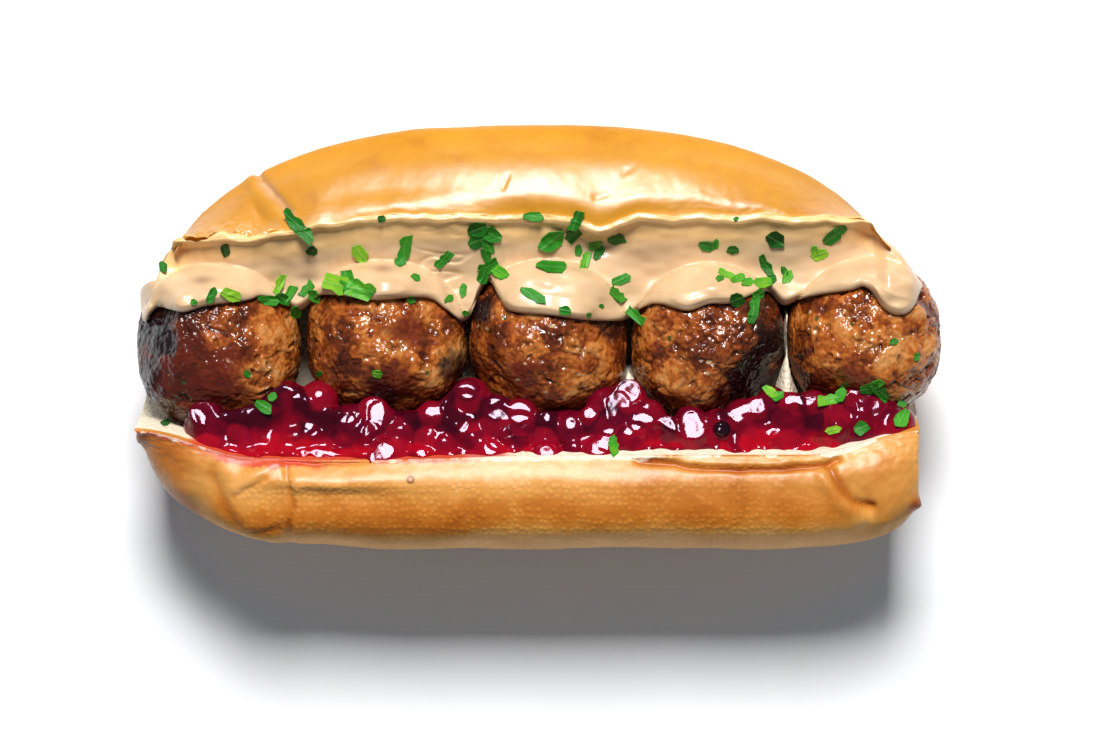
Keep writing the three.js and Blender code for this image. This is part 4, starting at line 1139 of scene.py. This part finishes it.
parsley = {
    "columns": 18, "rows": 10, "thickness": 0.2, "seed": 6,
    # the length from which a leaf may have lobes, where its knife cuts fall, how far its ends may sag,
    # how far it lies above the food, and the height taken where no food is below
    "lobedFrom": 3.4, "cutReach": (0.78, 1.0), "deepest": 1.2, "clear": 0.12, "besideFood": 20.0,
    # x, y, length, width, turn in degrees, lift of the tips, brightness
    "leaves": [
        (-78.5, 14.2, 3.0, 1.7, -80, 0.2, 0.2), (-65.1, 17.5, 2.8, 1.8, -80, 0.2, 0.15),
        (-49.4, 22.2, 9.2, 2.9, -42, 0.8, 0.2), (-47.1, 17.3, 2.4, 1.9, 30, 0.2, 0.1),
        (-37.2, 16.7, 4.3, 2.6, -50, 0.4, 0.9), (-32.4, 23.7, 1.9, 1.4, 10, 0.1, 0.1),
        (-27.9, 17.9, 5.8, 2.6, 80, 0.7, 0.3), (-28.6, 15.4, 3.2, 2.0, 40, 0.4, 0.45),
        (-67.4, 8.0, 3.9, 1.5, 65, 0.4, 0.35), (-63.4, 8.0, 4.6, 2.4, -20, 0.5, 0.8),
        (-71.1, 6.7, 1.6, 1.2, 0, 0.2, 0.4), (-56.2, 7.1, 5.0, 2.0, -5, 0.5, 0.35),
        (-54.0, 10.6, 4.6, 1.7, 75, 0.7, 0.85), (-52.2, 8.4, 4.8, 1.9, 60, 0.6, 0.5),
        (-53.2, 7.4, 3.4, 2.1, -30, 0.4, 0.3), (-50.8, 4.6, 2.8, 2.0, 80, 0.2, 0.75),
        (-48.4, 9.6, 4.2, 2.1, 50, 0.5, 0.55), (-46.9, 8.0, 3.6, 2.2, -40, 0.5, 0.3),
        (-41.6, 10.2, 7.4, 4.0, 165, 0.7, 0.75), (-37.0, 9.2, 7.2, 4.4, -12, 0.7, 0.6),
        (-39.8, 11.6, 4.4, 3.0, 110, 0.5, 0.45), (-26.4, 7.1, 1.9, 1.5, 0, 0.2, 0.3),
        (-33.5, -8.2, 2.4, 1.5, -10, 0.1, 0.5), (-60.3, -8.2, 1.9, 1.2, -60, 0.1, 0.3),
        (-45.9, -8.2, 1.6, 1.1, 20, 0.1, 0.3), (-57.1, -15.0, 4.4, 2.3, -32, 0.4, 0.5),
        (-55.4, -12.9, 2.3, 1.6, 40, 0.2, 0.6), (-78.5, -18.3, 2.1, 1.4, 10, 0.1, 0.05),
        (-19.8, 15.6, 4.8, 2.0, 45, 0.4, 0.5), (-25.4, 11.9, 2.2, 1.4, -20, 0.2, 0.35),
        (-15.9, 9.2, 3.4, 1.5, 85, 0.4, 0.5), (-18.6, 7.6, 2.2, 1.4, 30, 0.2, 0.4),
        (-15.3, 4.5, 1.5, 1.1, 0, 0.1, 0.6), (-12.6, 21.6, 4.8, 3.0, 20, 0.6, 0.12),
        (-9.8, 20.6, 4.4, 3.0, -25, 0.6, 0.3), (-13.0, 19.2, 4.0, 2.8, 200, 0.5, 0.2),
        (-10.6, 18.4, 3.6, 2.2, -60, 0.5, 0.4), (-10.9, 16.4, 3.2, 1.8, -60, 0.4, 0.3),
        (-10.4, 14.2, 4.6, 2.8, 30, 0.6, 0.35), (-8.2, 13.0, 4.2, 2.4, -30, 0.5, 0.65),
        (-11.6, 12.2, 3.8, 2.2, 250, 0.5, 0.2), (-1.0, 24.3, 4.6, 1.9, -2, 0.3, 0.3),
        (7.6, 23.4, 4.6, 2.4, 70, 0.7, 0.12), (7.2, 20.6, 3.6, 2.4, 40, 0.5, 0.2),
        (2.7, 19.3, 6.6, 3.5, 38, 0.5, 0.55), (2.7, 14.2, 7.0, 2.4, -4, 0.4, 0.45),
        (8.3, 17.5, 2.6, 1.6, 80, 0.3, 0.3), (9.7, 15.6, 4.3, 1.9, 75, 0.5, 0.8),
        (11.8, 18.5, 3.3, 1.5, 20, 0.4, 0.9), (12.4, 17.0, 3.4, 1.7, 60, 0.4, 0.5),
        (-1.2, 8.2, 6.6, 2.1, -32, 0.4, 0.5), (5.4, 4.9, 2.9, 2.0, -10, 0.2, 0.3),
        (16.1, 19.8, 3.9, 2.0, 10, 0.4, 0.25), (17.2, 11.5, 5.2, 1.9, 24, 0.4, 0.5),
        (16.6, 8.2, 4.3, 2.2, -40, 0.4, 0.4), (20.1, 4.0, 4.9, 2.1, -42, 0.4, 0.45),
        (13.0, 5.9, 1.2, 0.9, 0, 0.1, 0.4), (10.4, 4.0, 1.2, 0.9, 40, 0.1, 0.5),
        (35.0, 18.3, 3.9, 1.9, -15, 0.3, 0.3), (36.6, 18.6, 2.4, 1.5, 60, 0.3, 0.5),
        (40.3, 17.5, 2.6, 1.7, 0, 0.2, 0.3), (47.4, 14.4, 5.2, 2.0, -50, 0.5, 0.3),
        (39.2, 12.6, 4.2, 1.7, -20, 0.5, 0.85), (41.4, 11.8, 3.4, 1.6, 25, 0.4, 0.6),
        (37.4, 11.7, 1.9, 1.3, 0, 0.2, 0.5), (43.4, 11.0, 3.2, 1.7, 10, 0.3, 0.7),
        (46.9, 10.9, 4.6, 2.2, 5, 0.5, 0.75), (48.4, 11.6, 3.0, 1.8, 50, 0.4, 0.4),
        (41.0, 7.1, 3.3, 2.7, 20, 0.4, 0.2), (44.7, 6.2, 4.8, 2.2, 80, 0.7, 0.5),
        (44.2, 3.6, 3.6, 1.8, 60, 0.5, 0.3), (45.8, 8.4, 3.2, 1.9, 30, 0.4, 0.45),
        (15.6, -22.9, 4.3, 2.1, -72, 0.4, 0.6), (49.0, 19.5, 4.7, 3.3, -30, 0.4, 0.15),
        (61.0, 20.2, 4.6, 2.4, 35, 0.6, 0.3), (62.6, 21.6, 3.2, 1.8, 15, 0.5, 0.5),
        (58.5, 16.7, 3.9, 2.3, 20, 0.5, 1.0), (57.4, 17.4, 2.6, 1.3, 110, 0.4, 0.9),
        (51.9, 12.1, 3.3, 1.9, 60, 0.5, 0.6), (51.2, 13.2, 2.4, 1.3, 110, 0.4, 0.4),
        (40.7, 23.9, 1.2, 0.9, 0, 0.1, 0.2), (73.4, -1.5, 2.2, 1.4, 20, 0.1, 0.2),
        (78.4, -4.6, 2.0, 1.3, 60, 0.1, 0.3), (48.2, -11.8, 3.8, 1.9, -40, 0.4, 0.8),
        (49.6, -12.6, 3.0, 1.7, 30, 0.4, 0.6), (60.0, -13.4, 4.6, 2.6, 10, 0.6, 0.75),
        (62.6, -12.4, 3.8, 2.3, 55, 0.6, 0.5), (68.6, -11.4, 4.2, 2.2, 10, 0.6, 0.2),
        (71.2, -12.2, 4.0, 2.4, -40, 0.6, 0.3), (70.0, -10.4, 3.2, 1.6, 20, 0.5, 0.5),
        (75.8, -14.4, 2.3, 1.5, 0, 0.3, 0.5), (75.6, -17.3, 4.7, 3.0, 60, 0.5, 0.65),
        (66.9, -19.4, 3.7, 2.9, 20, 0.3, 0.4), (61.1, -19.8, 3.7, 1.5, 15, 0.3, 1.0),
    ],
}


def surfaceUnder(graph, x, y):
    # Height of the food straight below a point of the plan
    start = Vector((*((np.array([x, y]) + designShift[:2]) / 1000), 0.2))
    hit, place, *_ = scene.ray_cast(graph, start, Vector((0, 0, -1)))
    return place.z * 1000 if hit else parsley["besideFood"]


def leafMesh(graph, number, leaf):
    x, y, length, width, degrees, curl, bright = leaf
    draw = np.random.default_rng(parsley["seed"] + number)
    bm = bmesh.new()
    bmesh.ops.create_grid(bm, x_segments=parsley["columns"], y_segments=parsley["rows"], size=0.5)
    bmesh.ops.scale(bm, verts=bm.verts, vec=Vector((length, width, 1)))
    lobed = length > parsley["lobedFrom"] and draw.random() < 0.5
    turns = [0, math.pi, 1.2, -1.9] if lobed else [0, math.pi, 0.9, -0.9, 2.2, -2.2]
    for turn in turns:  # each knife cut leaves a straight edge
        turn += draw.uniform(-0.4, 0.4)
        normal = Vector((math.cos(turn), math.sin(turn), 0))
        reach = 0.5 * math.hypot(length * normal.x, width * normal.y) * draw.uniform(*parsley["cutReach"])
        bmesh.ops.bisect_plane(bm, geom=bm.verts[:] + bm.edges[:] + bm.faces[:], plane_co=normal * reach,
                               plane_no=normal, clear_outer=True)
    mesh = meshFrom(bm, f"leaf_{number}")
    u, v, _ = pointsOf(mesh).T
    s, v = u / length + 0.5, v / width
    lobes = int(draw.integers(2, 4))
    saw = np.abs((s * lobes + draw.uniform(0, 1)) % 1 - 0.5) * 2
    across = v * width * (1 - (0.4 * saw * smoothStep(0.0, 0.4, v) if lobed else 0))
    along = (s - 0.5) * length
    angle = math.radians(degrees)
    px = x + along * math.cos(angle) - across * math.sin(angle)
    py = y + along * math.sin(angle) + across * math.cos(angle)
    ground = np.array([surfaceUnder(graph, a, b) for a, b in zip(px, py)])
    ground = np.maximum(ground, np.median(ground) - parsley["deepest"])
    design = np.stack([px - x, py - y, np.ones(len(px))], axis=1)
    plane = design @ np.linalg.lstsq(design, ground, rcond=None)[0]
    turn = draw.uniform(-0.7, 0.7)
    fromFold = across * math.cos(turn) + along * math.sin(turn) + draw.uniform(-0.15, 0.15) * width
    fold = draw.uniform(0.1, 0.55) * np.abs(fromFold)
    z = plane + fold + curl * ((s - 0.5) * 2) ** 2 * draw.uniform(0, 0.5)
    z += np.percentile(ground - z, 88)
    z = np.maximum(z, ground + 0.05) + parsley["clear"]
    side = (np.abs(v) * 3.2 + s * lobes * 2) % 1 - 0.5
    vein = np.exp(-((v * 2 / 0.12) ** 2)) + 0.5 * np.exp(-((side / 0.1) ** 2))
    tone = np.clip(bright + 0.1 * draw.normal(), 0, 1)
    dress(mesh, np.stack([px, py, z], axis=1), {"vein": np.clip(vein, 0, 1), "tone": tone})
    return mesh


def parsleyMesh():
    graph = bpy.context.evaluated_depsgraph_get()
    bm = bmesh.new()
    for number, leaf in enumerate(parsley["leaves"]):
        mesh = leafMesh(graph, number, leaf)
        bm.from_mesh(mesh)
        bpy.data.meshes.remove(mesh)
    bmesh.ops.remove_doubles(bm, verts=bm.verts, dist=1e-6)
    bmesh.ops.dissolve_degenerate(bm, edges=bm.edges, dist=1e-6)
    return meshFrom(bm, "chopped_parsley")


def parsleyFinish():
    f = Finish("parsleyLeaf", {"Specular IOR Level": 0.3})
    vein, tone = f.mark("vein"), f.mark("tone")
    patch, fine = f.noise(2.2, 2), f.noise(0.4, 2)
    green = f.ramp(tone + (patch - 0.5) * 0.5, [(0.0, (0.003, 0.06, 0.003)), (0.35, (0.013, 0.18, 0.006)),
                                               (0.7, (0.05, 0.32, 0.012)), (1.0, (0.24, 0.48, 0.02))])
    colour = f.blend(vein * 0.35, green, (0.16, 0.36, 0.09))
    return f.finish(Base_Color=colour, Roughness=0.4 + fine * 0.2,
                    Normal=f.bump(vein * 0.6 + fine * 0.5, 0.2, 0.8))


# Build the food, from the roll outwards
addPiece("bread_roll", rollMesh(), breadFinish(), ["roll"])
meat = meatFinish()
for index in range(len(balls["row"])):
    addPiece(f"fried_meatball_{index + 1}", meatballMesh(index), meat, [f"meatball_{index + 1}"])
addPiece("cream_sauce_pour", sauceMesh(), sauceFinish(), ["cream_sauce"])
addPiece("jam_and_berries", jamMesh(), jamFinish(), ["berry_jam"])
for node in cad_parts.values():
    node.hide_viewport = True
bpy.context.view_layer.update()
leaves = addPiece("chopped_parsley", parsleyMesh(), parsleyFinish())
flatShaded = np.zeros(len(leaves.data.polygons), bool)
leaves.data.polygons.foreach_set("use_smooth", flatShaded)
thicken = leaves.modifiers.new("thicken", "SOLIDIFY")
thicken.thickness, thicken.use_even_offset = parsley["thickness"] / 1000, False

# The table, the light and the camera
studio = {
    "floorSize": 6.0, "floorTone": 0.93,
    "keyDistance": 1.2, "keySize": 0.34, "keyWatts": 20.5, "keyTurn": (0.0, 0.53, 0.848),
    "sky": (0.109, 0.16, 0.2),
    "cameraAt": (2.3, -6.6, 740.0), "lens": 109.0, "sensor": 36.0,
}


def floorFinish():
    f = Finish("paleTable", {"Roughness": 0.9, "Specular IOR Level": 0.1})
    grain = f.noise(30, 2)
    tone = studio["floorTone"]
    return f.finish(Base_Color=f.ramp(grain, [(0.0, (tone, tone, tone)), (1.0, (tone + 0.01,) * 3)]))


def setStudio():
    bm = bmesh.new()
    bmesh.ops.create_grid(bm, x_segments=1, y_segments=1, size=studio["floorSize"] / 2)
    floor = bpy.data.objects.new("table_top", meshFrom(bm, "table_top"))
    floor.data.transform(floor.matrix_world.Translation(Vector((0, 0, -0.0002))))
    floor.data.materials.append(floorFinish())
    scene.collection.objects.link(floor)
    centre = Vector((0, 0, 0.03))
    lamp = bpy.data.lights.new("key", "AREA")
    lamp.shape, lamp.size, lamp.energy = "SQUARE", studio["keySize"], studio["keyWatts"]
    key = bpy.data.objects.new("key", lamp)
    key.location = centre + Vector(studio["keyTurn"]).normalized() * studio["keyDistance"]
    key.rotation_euler = (key.location - centre).to_track_quat("Z", "Y").to_euler()
    scene.collection.objects.link(key)
    world = bpy.data.worlds.new("sky")
    world.use_nodes = True
    world.node_tree.nodes["Background"].inputs[0].default_value = (*studio["sky"], 1)
    scene.world = world
    view = bpy.data.cameras.new("view")
    view.lens, view.sensor_width, view.clip_start = studio["lens"], studio["sensor"], 0.01
    camera = bpy.data.objects.new("view", view)
    camera.location = (np.array(studio["cameraAt"]) + designShift) / 1000
    scene.collection.objects.link(camera)
    scene.camera = camera
    scene.view_settings.view_transform = "Standard"


setStudio()
print("studio: floor, key light and camera set")

bpy.context.view_layer.update()
